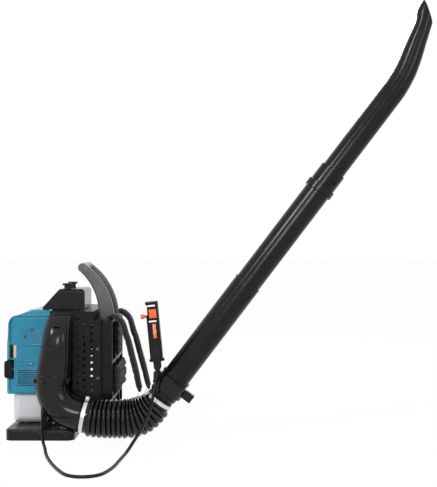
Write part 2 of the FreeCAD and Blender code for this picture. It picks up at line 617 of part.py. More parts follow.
def make_tank():
    def block(name, inset):
        rear, front = "tank_rear + %s" % inset, "tank_front - %s" % inset
        side, edge = "tank_side - %s" % inset, "tank_edge - %s" % inset
        low, high = "base_height + %s" % inset, "cover_low - %s" % inset
        profile = slab(name + "Side", "y", [(rear, low, edge), (front, low, edge), (front, high, 8),
                                            (rear, high, 8)], "-(%s)" % side, side)
        plan = slab(name + "Plan", "z", [(rear, "-(%s)" % side, edge), (front, "-(%s)" % side, edge),
                                         (front, side, edge), (rear, side, edge)], low, high)
        end = slab(name + "End", "x", [("-(%s)" % side, low, edge), (side, low, edge), (side, high, 8),
                                       ("-(%s)" % side, high, 8)], rear, front)
        return both(name, profile, plan, end)
    outer = block("TankOuter", 0)
    inner = block("TankInner", "tank_wall")
    centre = ("neck_place", 0, "neck_height")
    neck = rod("TankNeck", "neck_radius", "tank_side - 8", "tank_side + 14", centre, "y")
    mouth = rod("TankMouth", "neck_radius - 3", "tank_side - 10", "tank_side + 15", centre, "y")
    node("fuel_tank", less("Tank", join("TankBody", outer, neck), inner, mouth))
    cap = rod("CapDisc", "cap_radius", "tank_side + 0.4", "tank_side + cap_length", centre, "y")
    socket = rod("CapSocket", "neck_radius + fit_gap", "tank_side", "tank_side + 14 + fit_gap", centre, "y")
    cap = less("CapBody", cap, socket)
    node("fuel_cap", softened("Cap", cap, 3, lambda edge: edge.Length > 1.9 * math.pi * num("cap_radius")
                              and edge.BoundBox.YMin > num("tank_side + cap_length") - 0.01))


def make_carburettor():
    centre = ("carb_place", "carb_side", 0)
    block = box("CarbBlock", ("carb_place - carb_half", "carb_place + carb_half"),
                ("carb_side - carb_half", "carb_side + carb_half"), ("carb_low", "cleaner_low - 6"))
    throat = rod("CarbThroat", "carb_bore", "carb_low - 1", "cleaner_low", centre)
    port = ("carb_place - 6", 0, "seat_height + 34")
    manifold = rod("Manifold", "carb_bore + 3", "seat_height + 22", "carb_low", centre)
    reach = rod("ManifoldReach", "carb_bore + 2", "carb_side", "-fin_depth - 4", port, "y")
    hollow = rod("ManifoldHollow", "carb_bore - 2", "seat_height + 26", "carb_low + 1", centre)
    reach_hollow = rod("ManifoldReachHollow", "carb_bore - 2", "carb_side", "-fin_depth - 3", port, "y")
    body = join("CarbBody", less("CarbOpen", block, throat),
                less("ManifoldOpen", join("ManifoldBody", manifold, reach), hollow, reach_hollow))
    spindle_hole = rod("SpindleHole", "throttle_radius + running_gap", "carb_side - carb_half - 1",
                       "carb_side + carb_half + 1", ("carb_place", 0, "carb_low + 12"), "y")
    node("carburettor", less("Carburettor", body, spindle_hole))
    spindle = rod("Spindle", "throttle_radius", "carb_side - carb_half - 5", "carb_side + carb_half + 2",
                  ("carb_place", 0, "carb_low + 12"), "y")
    arm = box("ThrottleArm", ("carb_place - 4", "carb_place + 4"),
              ("carb_side - carb_half - 4", "carb_side - carb_half - 1"), ("carb_low - 8", "carb_low + 16"))
    node("throttle_lever", join("ThrottleLever", spindle, arm))


def make_cleaner():
    def block(name, inset, low):
        rear, front = "cleaner_rear + %s" % inset, "cleaner_front - %s" % inset
        side, high = "cleaner_side - %s" % inset, "cleaner_high - %s" % inset
        edge = "cleaner_edge - %s" % inset
        profile = slab(name + "Side", "y", [(rear, low, 0.5), (front, low, 0.5), (front, high, edge),
                                            ("%s + 49" % rear, high, edge)], "-(%s)" % side, side)
        end = slab(name + "End", "x", [("-(%s)" % side, low, 0.5), (side, low, 0.5), (side, high, edge),
                                       ("-(%s)" % side, high, edge)], rear, front)
        return both(name, profile, end)
    outer = block("CleanerOuter", 0, "cleaner_low")
    inner = block("CleanerInner", "cleaner_wall", "cleaner_low - 1")
    holes = [rod("CleanerHole%d" % n, "stud_radius + fit_gap", "cleaner_high - 20", "cleaner_high + 1",
                 ("knob_place", side, 0)) for n, side in enumerate(("-knob_side", "knob_side"))]
    node("air_filter_cover", less("CleanerCover", outer, inner, *holes))
    plate = box("CleanerPlate", ("cleaner_rear + 1", "cleaner_front - 1"),
                ("1 - cleaner_side", "cleaner_side - 1"), ("cleaner_low - 3", "cleaner_low - fit_gap"))
    feet = box("CleanerFeetBlock", ("scroll_rear + 4", "scroll_front - 4"), (-40, 40),
               ("scroll_top - 8", "cleaner_low - 2"))
    feet = less("CleanerFeet", feet, slab("CleanerSeat", "x", scroll_outline(0), "scroll_rear", "scroll_front"))
    intake_hole = rod("CleanerIntakeHole", "carb_bore", "cleaner_low - 7", "cleaner_low + 7",
                      ("carb_place", "carb_side", 0))
    studs = [rod("Stud%d" % n, "stud_radius", "cleaner_low - 1", "cleaner_high + 9", ("knob_place", side, 0))
             for n, side in enumerate(("-knob_side", "knob_side"))]
    intake = box("CleanerIntakeBlock", ("cleaner_rear + 1", "carb_place + carb_half"),
                 ("1 - cleaner_side", "carb_side + carb_half"), ("cleaner_low - 6", "cleaner_low - 1"))
    choke_hole = rod("ChokeHole", "2 + running_gap", "cleaner_side - 26", "cleaner_side + 1",
                     ("choke_place", 0, "cleaner_low - 8"), "y")
    choke_block = box("ChokeBlock", ("choke_place - 6", "choke_place + 6"),
                      ("cleaner_side - 24", "cleaner_side - 1"), ("cleaner_low - 14", "cleaner_low - 2"))
    body = join("CleanerBaseBody", plate, feet, intake, choke_block, *studs)
    node("air_filter_base", less("CleanerBase", body, intake_hole, choke_hole))
    pivot = rod("ChokeSpindle", 2, "cleaner_side - 22", "cleaner_side + 4",
                ("choke_place", 0, "cleaner_low - 8"), "y")
    lever = box("ChokeArm", ("choke_place - 4", "choke_place + 4"), ("cleaner_side + 1.5", "cleaner_side + 4.5"),
                ("cleaner_low - 12", "cleaner_low + 24"))
    node("choke_lever", join("Choke", pivot, lever))
    element = box("ElementBlock", ("scroll_rear + 16", "cleaner_front - 6"), (-62, 62),
                  ("cleaner_low - fit_gap", "cleaner_high - 16"))
    element = softened("ElementCorners", element, 10, upright)
    core = box("ElementCore", ("scroll_rear + 16 + element_wall", "cleaner_front - 6 - element_wall"),
               ("element_wall - 62", "62 - element_wall"), ("cleaner_low - 2", "cleaner_high"))
    stud_holes = [rod("ElementHole%d" % n, "stud_radius + 1", "cleaner_low - 2", "cleaner_high",
                      ("knob_place", side, 0)) for n, side in enumerate(("-knob_side", "knob_side"))]
    node("air_filter_element", less("Element", element, core, *stud_holes))
    for name, side in (("right", "-knob_side"), ("left", "knob_side")):
        knob = doc.addObject("Part::Cone", "Knob_" + name)
        bind(knob, Radius1="knob_radius", Radius2="knob_radius - 2", Height="knob_height")
        stand(knob, ("knob_place", side, "cleaner_high + fit_gap"))
        hole = rod("KnobHole_" + name, "stud_radius + running_gap", "cleaner_high", "cleaner_high + 10",
                   ("knob_place", side, 0))
        node("filter_knob_" + name, less("FilterKnob_" + name, knob, hole))


def make_frame():
    """The moulded back frame: a ribbed web, narrower beside the hose, and a hollow foot."""
    side, top, waist = "frame_side", "frame_top", "frame_waist"
    web = box("FrameWeb", ("frame_back", "frame_back + frame_web"), ("-" + side, side), ("base_height", top))
    parts = [web]
    for n, place_of in enumerate(("-frame_side", "-pad_side", "pad_side - frame_rib", "frame_side - frame_rib")):
        parts.append(box("FrameRib%d" % n, ("frame_back", "frame_front"),
                         (place_of, "%s + frame_rib" % place_of), ("base_height - 1", top)))
    for n, low in enumerate(("base_height - 1", "lumbar_low - frame_rib", "lumbar_high", "frame_top - frame_rib")):
        parts.append(box("FrameBar%d" % n, ("frame_back", "frame_front"), ("-" + side, side),
                         (low, "%s + frame_rib" % low)))
    sides = []
    for n, (low, high) in enumerate((("-frame_side - 5", "-foot_side"), ("foot_side", "frame_side + 5"))):
        sides.append(box("FrameWaist%d" % n, ("frame_back - 5", "frame_front + 5"), (low, high),
                         ("base_height - 5", waist)))
    whole = [less("FrameUpper", join("FrameBody", *parts), *sides)]
    for n, low in enumerate(("-foot_side", "foot_side - frame_rib")):
        whole.append(box("FrameLowRib%d" % n, ("frame_back", "frame_front"), (low, low + " + frame_rib"),
                         ("base_height - 1", waist + " + frame_rib")))
    for n, (low, high) in enumerate((("-frame_side", "-foot_side + frame_rib"), ("foot_side - frame_rib", "frame_side"))):
        whole.append(box("FrameShoulder%d" % n, ("frame_back", "frame_front"), (low, high),
                         (waist, waist + " + frame_rib")))
    foot = box("FootBlock", ("base_front", "foot_front"), ("-foot_side", "foot_side"), (0, "base_height"))
    hollow = box("FootHollow", ("notch_front + base_wall", "foot_front - base_wall"),
                 ("base_wall - foot_side", "foot_side - base_wall"), (-1, "base_height - base_wall"))
    notch = box("FootNotch", ("base_front - 1", "notch_front"), ("-foot_side - 1", "foot_side + 1"),
                (-1, "notch_height"))
    node("back_frame", join("Frame", less("Foot", foot, hollow, notch), *whole))


def make_guard():
    """The intake guard: a thin box round the inlet, pierced with staggered round holes."""
    def block(name, inset):
        rear, side, low = "scroll_front + %s" % inset, "guard_side - %s" % inset, "guard_low + %s" % inset
        tall = box(name + "Tall", (rear, "guard_step - %s" % inset), ("-(%s)" % side, side),
                   (low, "guard_high - %s" % inset))
        short = box(name + "Short", (rear, "guard_front - %s" % inset), ("-(%s)" % side, side),
                    (low, "frame_top - %s" % inset))
        return join(name, tall, short)
    outer = softened("GuardCorners", block("GuardBlock", 0), "guard_corner",
                     lambda edge: upright(edge) and edge.BoundBox.XMin > num("guard_front") - 0.01)
    inner = block("GuardHollow", "guard_wall")
    inlet = rod("GuardInlet", "inlet_radius", "scroll_front - 1", "scroll_front + guard_wall + 1",
                (0, 0, "crank_height"), "x")
    holes = []
    pitch = num("hole_pitch")
    first = Vector(num("scroll_front") + 13, -num("guard_side") - 1, num("guard_low") + 20)
    for column in range(int(num("hole_columns"))):
        for row in range(int(num("hole_rows"))):
            spot = first + Vector(column * pitch, 0, (row + column % 2 / 2) * pitch)
            top = num("guard_high") if spot.x < num("guard_step") - 12 else num("frame_top")
            if spot.z < top - 12:
                holes.append(Part.makeCylinder(num("hole_radius"), 2 * num("guard_side") + 2, spot,
                                               Vector(0, 1, 0)))
    pattern = fixed("GuardHoles", Part.makeCompound(holes))
    node("intake_guard", less("Guard", outer, inner, inlet, pattern))


def section(centre, heading, half_across, half_side, corner):
    """A rounded rectangle wire across a heading in the upright plane; its sides run along Y."""
    wire = rounded([(-half_across, -half_side, corner), (half_across, -half_side, corner),
                    (half_across, half_side, corner), (-half_across, half_side, corner)])
    wire.Placement = Placement(centre, Rotation(Vector(0, 1, 0), 90 - heading))
    return wire


def make_carry_handle():
    """Two arms that lean back from the frame's top, and the bar that joins them."""
    reach, rise = num("handle_reach"), num("handle_rise")
    lean = math.atan2(reach, rise)
    radius = math.hypot(reach, rise) / (2 * math.sin(lean))
    start_x = num("(frame_back + frame_front) / 2 - 11")
    low = num("frame_top")
    half_side = num("handle_thick") / 2
    solids = []
    for side in (-1, 1):
        wires = []
        for n in range(6):
            turn = 2 * lean * n / 5
            half = (num("handle_foot_width") * (5 - n) + num("handle_top_width") * n) / 10
            centre = Vector(start_x - radius * (1 - math.cos(turn)), side * num("handle_side"),
                            low + radius * math.sin(turn))
            wires.append(section(centre, 90 + math.degrees(turn), half, half_side, 7))
        solids.append(Part.makeLoft(wires, True, False))
    bar = Part.makeCylinder(num("handle_bar_radius"), 2 * num("handle_side") + 2 * half_side - 4,
                            Vector(start_x - reach, 2 - num("handle_side") - half_side, low + rise),
                            Vector(0, 1, 0))
    node("carry_handle", fixed("CarryHandle", bar.fuse(solids)))


def crowned(back, depth, half_side, low, high):
    """A cushion with its flat back on the frame, drawn-in sides and a crowned front."""
    wires = []
    for share, swell in ((0.0, 0.45), (0.12, 0.8), (0.5, 1.0), (0.88, 0.8), (1.0, 0.45)):
        z = low + (high - low) * share
        side = half_side * (0.9 + 0.1 * swell)
        edge = depth * 0.45 * swell
        corners = [Vector(back, -side, z), Vector(back, side, z), Vector(back + edge, side, z),
                   Vector(back + edge, -side, z)]
        front = Part.Arc(corners[2], Vector(back + depth * swell, 0, z), corners[3])
        wires.append(Part.Wire([Part.makeLine(corners[0], corners[1]), Part.makeLine(corners[1], corners[2]),
                                front.toShape(), Part.makeLine(corners[3], corners[0])]))
    return Part.makeLoft(wires, True, False)


def make_pads():
    back = num("frame_front")
    upper = crowned(back, num("pad_depth"), num("pad_side"), num("pad_low"), num("pad_high"))
    lower = crowned(back, num("lumbar_depth"), num("lumbar_side"), num("lumbar_low"), num("lumbar_high"))
    node("back_pads", fixed("BackPads", Part.makeCompound([upper, lower])))


def make_straps():
    """Each padded strap leaves the frame's top, turns down and runs to its buckle."""
    half = num("strap_thick") / 2
    top = Vector(num("frame_front") - 18, num("strap_top_side"), num("frame_top") + half)
    bend = Vector(num("frame_front") + 17, num("strap_top_side") + 3, num("frame_top") - 3)
    webbing = []
    for name, side, reach, height in (("left", 1, "left_end_reach", "left_end_height"),
                                      ("right", -1, "strap_end_reach", "strap_end_height")):
        end = Vector(num(reach), num("strap_end_side"), num(height))
        run = end - bend
        slope = math.degrees(math.atan2(run.z, run.x))
        wires = []
        stops = [(top, 0, 0.9), (top + Vector(15, 0, 1.5), -4, 1.0), (bend, slope / 2 - 4, 1.0),
                 (bend + run * 0.25 + Vector(5, 0, 3), slope + 5, 1.0),
                 (bend + run * 0.6 + Vector(4, 0, 2), slope, 1.0), (end, slope - 2, 0.9)]
        for centre, heading, share in stops:
            spot = Vector(centre.x, side * centre.y, centre.z)
            wires.append(section(spot, heading, half * share, num("strap_width") / 2 * share,
                                 half * share * 0.6))
        strap = Part.makeLoft(wires, True, False)
        node("shoulder_strap_" + name, fixed("Strap_" + name, strap))
        foot = Vector(num("foot_front"), side * num("strap_end_side"), num("base_height") - 14)
        high = Vector(end.x, side * end.y, end.z)
        fall = (foot - high).normalize()
        tilt = Rotation(Vector(0, 0, 1), fall)
        width, length = num("strap_width") * 0.75, num("buckle_length")
        leave = Vector(math.cos(math.radians(slope - 2)), 0, math.sin(math.radians(slope - 2)))
        low = 2 * fall.cross(leave).Length + 1.5
        plate = Part.makeBox(4, width, length - low, Vector(-2, -width / 2, low))
        for low in (8, length - 10):
            slot = Part.makeBox(6, num("webbing_width") + 2, 6)
            slot.translate(Vector(-3, -num("webbing_width") / 2 - 1, low))
            plate = plate.cut(slot)
        plate.Placement = Placement(high, tilt)
        ribbon = Part.makeBox(num("webbing_thick"), num("webbing_width"), (foot - high).Length - length + 10,
                              Vector(-num("webbing_thick") / 2, -num("webbing_width") / 2, length))
        ribbon.Placement = Placement(high, tilt)
        beyond = Part.makeBox(60, 300, 200)
        beyond.translate(Vector(num("foot_front") - 60, -150, -50))
        webbing += [plate, ribbon.cut(beyond)]
    node("strap_webbing", fixed("Webbing", Part.makeCompound(webbing)))


def make_duct():
    """The outlet duct: a tall hollow shoulder beside the fan that ends round over the elbow."""
    rear, front = num("scroll_rear"), num("scroll_front")
    inner_side = -num("scroll_radius")
    outer_side = num("duct_side") - num("duct_radius")
    foot = num("duct_foot")
    top = num("scroll_top")
    end_rear = num("duct_place - duct_radius")
    end_front = num("duct_place + duct_radius")
    end_inner = num("duct_side + duct_radius")

    def wire(share, drop, inset):
        """The outline at a share of the way down, with the outer side drawn in by drop."""
        low_x = rear + (end_rear - rear) * share + inset
        high_x = front + (end_front - front) * max(0, share - 0.7) / 0.3 - inset
        far = outer_side + drop + inset
        near = inner_side - inset
        corner = min(34, (near - far) * 0.42, (high_x - low_x) * 0.42) if share < 0.99 else (near - far) / 2 - 0.4
        z = top + (foot - top) * share
        ring = rounded([(low_x, far, corner), (high_x, far, corner), (high_x, near, corner),
                        (low_x, near, corner)])
        ring.translate(Vector(0, 0, z))
        return ring
    steps = [(0.06, 50), (0.14, 30), (0.3, 10), (0.55, 2), (0.8, 0), (1.0, 0)]
    outer = Part.makeLoft([wire(share, drop, 0) for share, drop in steps], True, False)
    wall = num("duct_wall")
    inner = Part.makeLoft([wire(share, drop, wall) for share, drop in steps[1:]], True, False)
    window = Part.makeBox(front - rear - 10, 20, 100)
    window.translate(Vector(rear + 5, inner_side - 10, num("crank_height") - 20))
    mouth = Part.makeCylinder(num("duct_radius") - wall, 20,
                              Vector(num("duct_place"), num("duct_side"), foot - 1))
    node("outlet_duct", fixed("OutletDuct", outer.cut(inner).cut(window).cut(mouth)))


def ring_at(centre, heading, radius):
    """A circle across a heading in the upright plane, on a steady X axis."""
    circle = Part.makeCircle(radius)
    circle.Placement = Placement(centre, Rotation(Vector(0, 1, 0), 90 - heading))
    return Part.Wire(circle)


def make_elbow():
    bend = doc.addObject("Part::Torus", "ElbowBend")
    bind(bend, Radius1="elbow_radius", Radius2="duct_radius", Angle3="90 - elbow_drop")
    hollow = doc.addObject("Part::Torus", "ElbowHollow")
    bind(hollow, Radius1="elbow_radius", Radius2="duct_radius - duct_wall", Angle3="90 - elbow_drop")
    turn = Rotation(Vector(-1, 0, 0), Vector(0, 0, -1), Vector(0, -1, 0), "ZXY")
    for torus in (bend, hollow):
        torus.Placement = Placement(Vector(), turn)
        for letter, expression in zip("xyz", ("elbow_x", "duct_side", "duct_foot")):
            torus.setExpression("Placement.Base." + letter, bound(expression))
    spigot = rod("Spigot", "duct_radius", 0, "spigot_length", (0, 0, 0))
    bore = rod("SpigotBore", "duct_radius - duct_wall", -0.5, "spigot_length + 1", (0, 0, 0))
    for thing in (spigot, bore):
        stand(thing, ("spigot_x", "duct_side", "spigot_z"), (0, 1, 0), "90 + elbow_drop")
    node("elbow", less("Elbow", join("ElbowBody", less("ElbowShell", bend, hollow), spigot), bore))


def hose_route():
    """The bellows' middle line as (length, turn in degrees) pieces, from the elbow's spigot."""
    cuff = num("cuff_length")
    return [(cuff, 0), (math.radians(num("elbow_drop")) * num("dip_radius"), num("elbow_drop")),
            (num("hose_level"), 0),
            (math.radians(num("tube_tilt")) * num("rise_radius"), num("tube_tilt")),
            (num("hose_end_cuff"), 0)]


def on_hose(distance):
    """The point and heading at a distance along the bellows' middle line."""
    heading = -math.radians(num("elbow_drop"))
    cuff = num("cuff_length")
    spot = Vector(num("hose_x") - cuff * math.cos(heading), num("duct_side"),
                  num("hose_z") - cuff * math.sin(heading))
    for length, turn in hose_route():
        step = min(distance, length)
        bend = math.radians(turn) * step / length
        chord = step if bend == 0 else 2 * length / math.radians(turn) * math.sin(bend / 2)
        middle = heading + bend / 2
        spot = spot + Vector(chord * math.cos(middle), 0, chord * math.sin(middle))
        heading += bend
        distance -= step
        if distance <= 0:
            break
    return spot, math.degrees(heading)


def make_hose():
    """The bellows with its bore: a plain cuff at each end and tapering ribs between them."""
    total = sum(length for length, turn in hose_route())
    start = num("cuff_length")
    end = total - num("hose_end_cuff")
    ribs = int(num("rib_count"))
    pitch = (end - start - 4) / ribs
    valley = num("hose_inside + cuff_wall")
    peak = num("hose_radius")
    last = num("end_cuff_radius")
    stops = [(0, valley), (start, valley)]
    for n in range(ribs):
        far = max(0, (n + 0.5) / ribs - 0.72) / 0.28
        high = peak + (last + 7 - peak) * far
        low = high - num("rib_depth")
        at = start + 2 + n * pitch
        for share, radius in ((0.12, low), (0.3, high), (0.62, high), (0.8, low)):
            stops.append((at + pitch * share, radius))
    stops += [(end, last), (total, last)]
    wall = num("hose_wall")

    def rings(inset):
        rows = []
        for distance, radius in stops:
            spot, heading = on_hose(distance)
            cuff = distance <= start or distance >= end
            rows.append(ring_at(spot, heading, radius - (num("cuff_wall") if cuff else wall) * inset))
        return rows
    outer = Part.makeLoft(rings(0), True, True)
    inner = Part.makeLoft(rings(1), True, True)
    node("bellows_hose", fixed("Bellows", outer.cut(inner)))


def band(name, radius, base, angle):
    """A worm-drive hose clamp: a thin band and its screw housing on the upper side."""
    low, high = "-band_width / 2", "band_width / 2"
    ring = less(name + "Ring", rod(name + "Outer", radius + " + band_thick", low, high, (0, 0, 0)),
                rod(name + "Inner", radius, "-band_width", "band_width", (0, 0, 0)))
    housing = box(name + "Housing", ("-(%s) - band_thick - 6" % radius, "-(%s) - 0.4" % radius), (-9, 9),
                  (low, high))
    screw = rod(name + "Screw", 3, -13, 13, ("-(%s) - band_thick - 2" % radius, 0, 0), "y")
    core = rod(name + "Core", radius, "-band_width", "band_width", (0, 0, 0))
    whole = less(name, join(name + "Body", ring, housing, screw), core)
    return stand(whole, base, (0, 1, 0), angle)


def make_clamps():
    back = "(cuff_length / 2)"
    base = ("hose_x - %s * cos(elbow_drop)" % back, "duct_side", "hose_z + %s * sin(elbow_drop)" % back)
    node("hose_clamp_lower", band("ClampLower", "(hose_inside + cuff_wall + 0.1)", base, "90 + elbow_drop"))
    back = "(hose_end_cuff / 2)"
    base = ("pipe_x - %s * cos(tube_tilt)" % back, "duct_side", "pipe_z - %s * sin(tube_tilt)" % back)
    node("hose_clamp_upper", band("ClampUpper", "(end_cuff_radius + fit_gap)", base, "90 - tube_tilt"))


def make_pipe():
    inside = "inner_cuff_radius - pipe_wall"
    socket = "pipe_rim - 42"
    pipe = turned("SwivelPipe", [
        (inside, "1 - hose_end_cuff"), ("inner_cuff_radius", "1 - hose_end_cuff"),
        ("inner_cuff_radius", 0.5), ("pipe_radius", "ring_start - 12"), ("pipe_radius", "pipe_rim - 10"),
        ("rim_radius", "pipe_rim - 7"), ("rim_radius", "pipe_rim"), ("socket_radius", "pipe_rim"),
        ("socket_radius", socket), (inside, "%s - 8" % socket)])
    node("swivel_pipe", duct_frame("SwivelPipe", pipe))
    low, high = "ring_start", "ring_end"
    ring = rod("BracketOuter", "pipe_radius + ring_thick", low, high, (0, 0, 0))
    ears = box("BracketEars", ("pipe_radius", "ear_reach"), ("-ear_thick - ear_slit / 2",
               "ear_thick + ear_slit / 2"), ("ring_end - ear_width", high))
    slit = box("BracketSlit", ("pipe_radius - 2", "ear_reach + 1"), ("-ear_slit / 2", "ear_slit / 2"),
               ("ring_start - 1", "ring_end + 1"))
    core = rod("BracketCore", "pipe_radius + running_gap", "ring_start - 1", "ring_end + 1", (0, 0, 0))
    bolt_at = ("(pipe_radius + ring_thick + ear_reach) / 2", 0, "ring_end - ear_width / 2")
    hole = rod("BracketHole", "screw_radius - 1 + running_gap", "-ear_thick - ear_slit", "ear_thick + ear_slit",
               bolt_at, "y")
    bolt = rod("BracketBolt", "screw_radius - 1", "-ear_thick - ear_slit / 2 - 1", "ear_thick + ear_slit / 2 + 5",
               bolt_at, "y")
    head = rod("BracketBoltHead", "screw_radius + 2", "-ear_thick - ear_slit / 2 - 4",
               "-ear_thick - ear_slit / 2", bolt_at, "y")
    bracket = group("Bracket", less("BracketRing", join("BracketBody", ring, ears), slit, core, hole),
                    join("BracketScrew", bolt, head))
    node("handle_bracket", duct_frame("Bracket", bracket))


def sector(name, inner, outer, low, high, start, sweep):
    """A piece of a ring between two angles, for a bayonet slot."""
    block = rod(name + "Block", outer, low, high, (0, 0, 0))
    bind(block, Angle=sweep)
    stand(block, (0, 0, low), (0, 0, 1), start)
    return less(name, block, rod(name + "Core", inner, "%s - 1" % low, "%s + 1" % high, (0, 0, 0)))


def bayonet(name, outer, station):
    """Two slots round a socket, each as long as the lock's turn, with room for its pin."""
    margin = "(pin_radius + fit_gap)"
    swing = "(%s / (%s - sleeve_wall) * 180 / pi)" % (margin, outer)
    return [sector("%sSlot%d" % (name, n), "(%s - sleeve_wall - 3)" % outer, "(%s + 6)" % outer,
                   "(%s - %s)" % (station, margin), "(%s + %s)" % (station, margin),
                   "%d - %s - 0.5" % (angle, swing), "lock_turn + 2 * %s + 1" % swing)
            for n, angle in enumerate((-90, 90))]


def pins(name, outer, station):
    """The pins stand on a tube at its near and far side and reach through the slots."""
    return rod(name + "Pins", "pin_radius", "-(%s) - pin_stand" % outer, "%s + pin_stand" % outer,
               (0, 0, station), "y")


def make_tubes():
    bottom = "pipe_rim - 40"
    lower = turned("LowerTube", [
        ("lower_radius - tube_wall", bottom), ("lower_radius", bottom), ("lower_radius", "lower_end - 4"),
        ("lower_radius + 1.2", "lower_end - 4"), ("lower_radius + 1.2", "lower_end"),
        ("middle_radius + fit_gap", "lower_end"), ("middle_radius + fit_gap", "lower_end - tube_overlap - 6"),
        ("lower_radius - tube_wall", "lower_end - tube_overlap - 8")])
    node("lower_tube", duct_frame("LowerTubeSlotted", less("LowerTubeSlotted", lower,
                                                         *bayonet("Lower", "lower_radius", "pin_station"))))
    start = "lower_end - tube_overlap"
    sleeve = "nozzle_radius + fit_gap"
    middle = turned("MiddleTube", [
        ("middle_radius - tube_wall", start), ("middle_radius", start), ("middle_radius", "coupling_start - 2"),
        ("coupling_radius", "coupling_start"), ("coupling_radius", "coupling_start + coupling_width"),
        (sleeve + " + sleeve_wall", "coupling_start + coupling_width + 2"),
        (sleeve + " + sleeve_wall", "middle_end"), (sleeve, "middle_end"),
        (sleeve, "coupling_start - 10"), ("middle_radius - tube_wall", "coupling_start - 16")])
    bore = rod("MiddlePinBore", "middle_radius - tube_wall", "pin_station - 5", "pin_station + 5", (0, 0, 0))
    pinned = join("MiddlePinned", middle, less("MiddlePins", pins("Middle", "lower_radius", "pin_station"),
                                               bore))
    slots = bayonet("Middle", "(nozzle_radius + fit_gap + sleeve_wall)", "nozzle_pin_station")
    node("middle_tube", duct_frame("MiddleTubeSlotted", less("MiddleTubeSlotted", pinned, *slots)))


def make_nozzle():
    """The nozzle tube: straight, then bent up and pressed flat, with a slanting oval mouth."""
    radius, wall = num("nozzle_radius"), num("tube_wall")
    start, end = num("coupling_start - 8"), num("nozzle_straight")
    tilt, turn = num("tube_tilt"), num("bend_turn")
    bend, tip = num("bend_radius"), num("tip_length")
    rise, width = num("tip_half_height"), num("tip_half_width")

    def oval(centre, heading, half_across, half_side):
        return section(centre, heading, half_across, half_side, half_across - 0.3)

    def tube(inset, beyond):
        rings = []
        first = on_tube(end)
        for n in range(5):
            angle = math.radians(turn) * n / 4
            chord = 2 * bend * math.sin(angle / 2)
            heading = math.radians(tilt) + angle / 2
            spot = first + Vector(chord * math.cos(heading), 0, chord * math.sin(heading))
            share = n / 4 * 0.35
            rings.append(oval(spot, tilt + math.degrees(angle), radius + (rise - radius) * share - inset,
                              radius + (width - radius) * share - inset))
        final = math.radians(tilt + turn)
        for n, share in ((1, 0.65), (2, 0.9), (3, 1.0)):
            on = spot + Vector(math.cos(final), 0, math.sin(final)) * ((tip + beyond) * n / 3)
            rings.append(oval(on, tilt + turn, radius + (rise - radius) * share - inset,
                              radius + (width - radius) * share - inset))
        return Part.makeLoft(rings, True, False), on, final
    outer, tip_end, final = tube(0, 0)
    inner = tube(wall, 0)[0]
    axis = on_tube(end) - on_tube(start)
    straight = Part.Face(oval(on_tube(start), tilt, radius, radius)).extrude(axis)
    bore = Part.Face(oval(on_tube(start), tilt, radius - wall, radius - wall)).extrude(axis)
    station = num("nozzle_pin_station")
    reach = radius + num("fit_gap + sleeve_wall + pin_stand")
    pin = Part.makeCylinder(num("pin_radius"), 2 * reach, on_tube(station, 0, -reach), Vector(0, 1, 0))
    knife = Part.makeBox(200, 200, 400)
    knife.translate(Vector(0, -100, -200))
    knife.rotate(Vector(), Vector(0, 1, 0), -num("mouth_tilt"))
    top = tip_end + Vector(-math.sin(final), 0, math.cos(final)) * rise
    knife.translate(top)
    barrel = straight.cut(bore)
    shell = outer.cut(inner).cut(knife)
    node("nozzle_tube", fixed("Nozzle", barrel.fuse([shell, pin.cut(bore)])))


def grip_frame(thing):
    """Stands a thing made about the handle's own upright axis on its leaning line."""
    return stand(thing, ("grip_place", "grip_side", "grip_foot"), (0, -1, 0), "grip_lean")


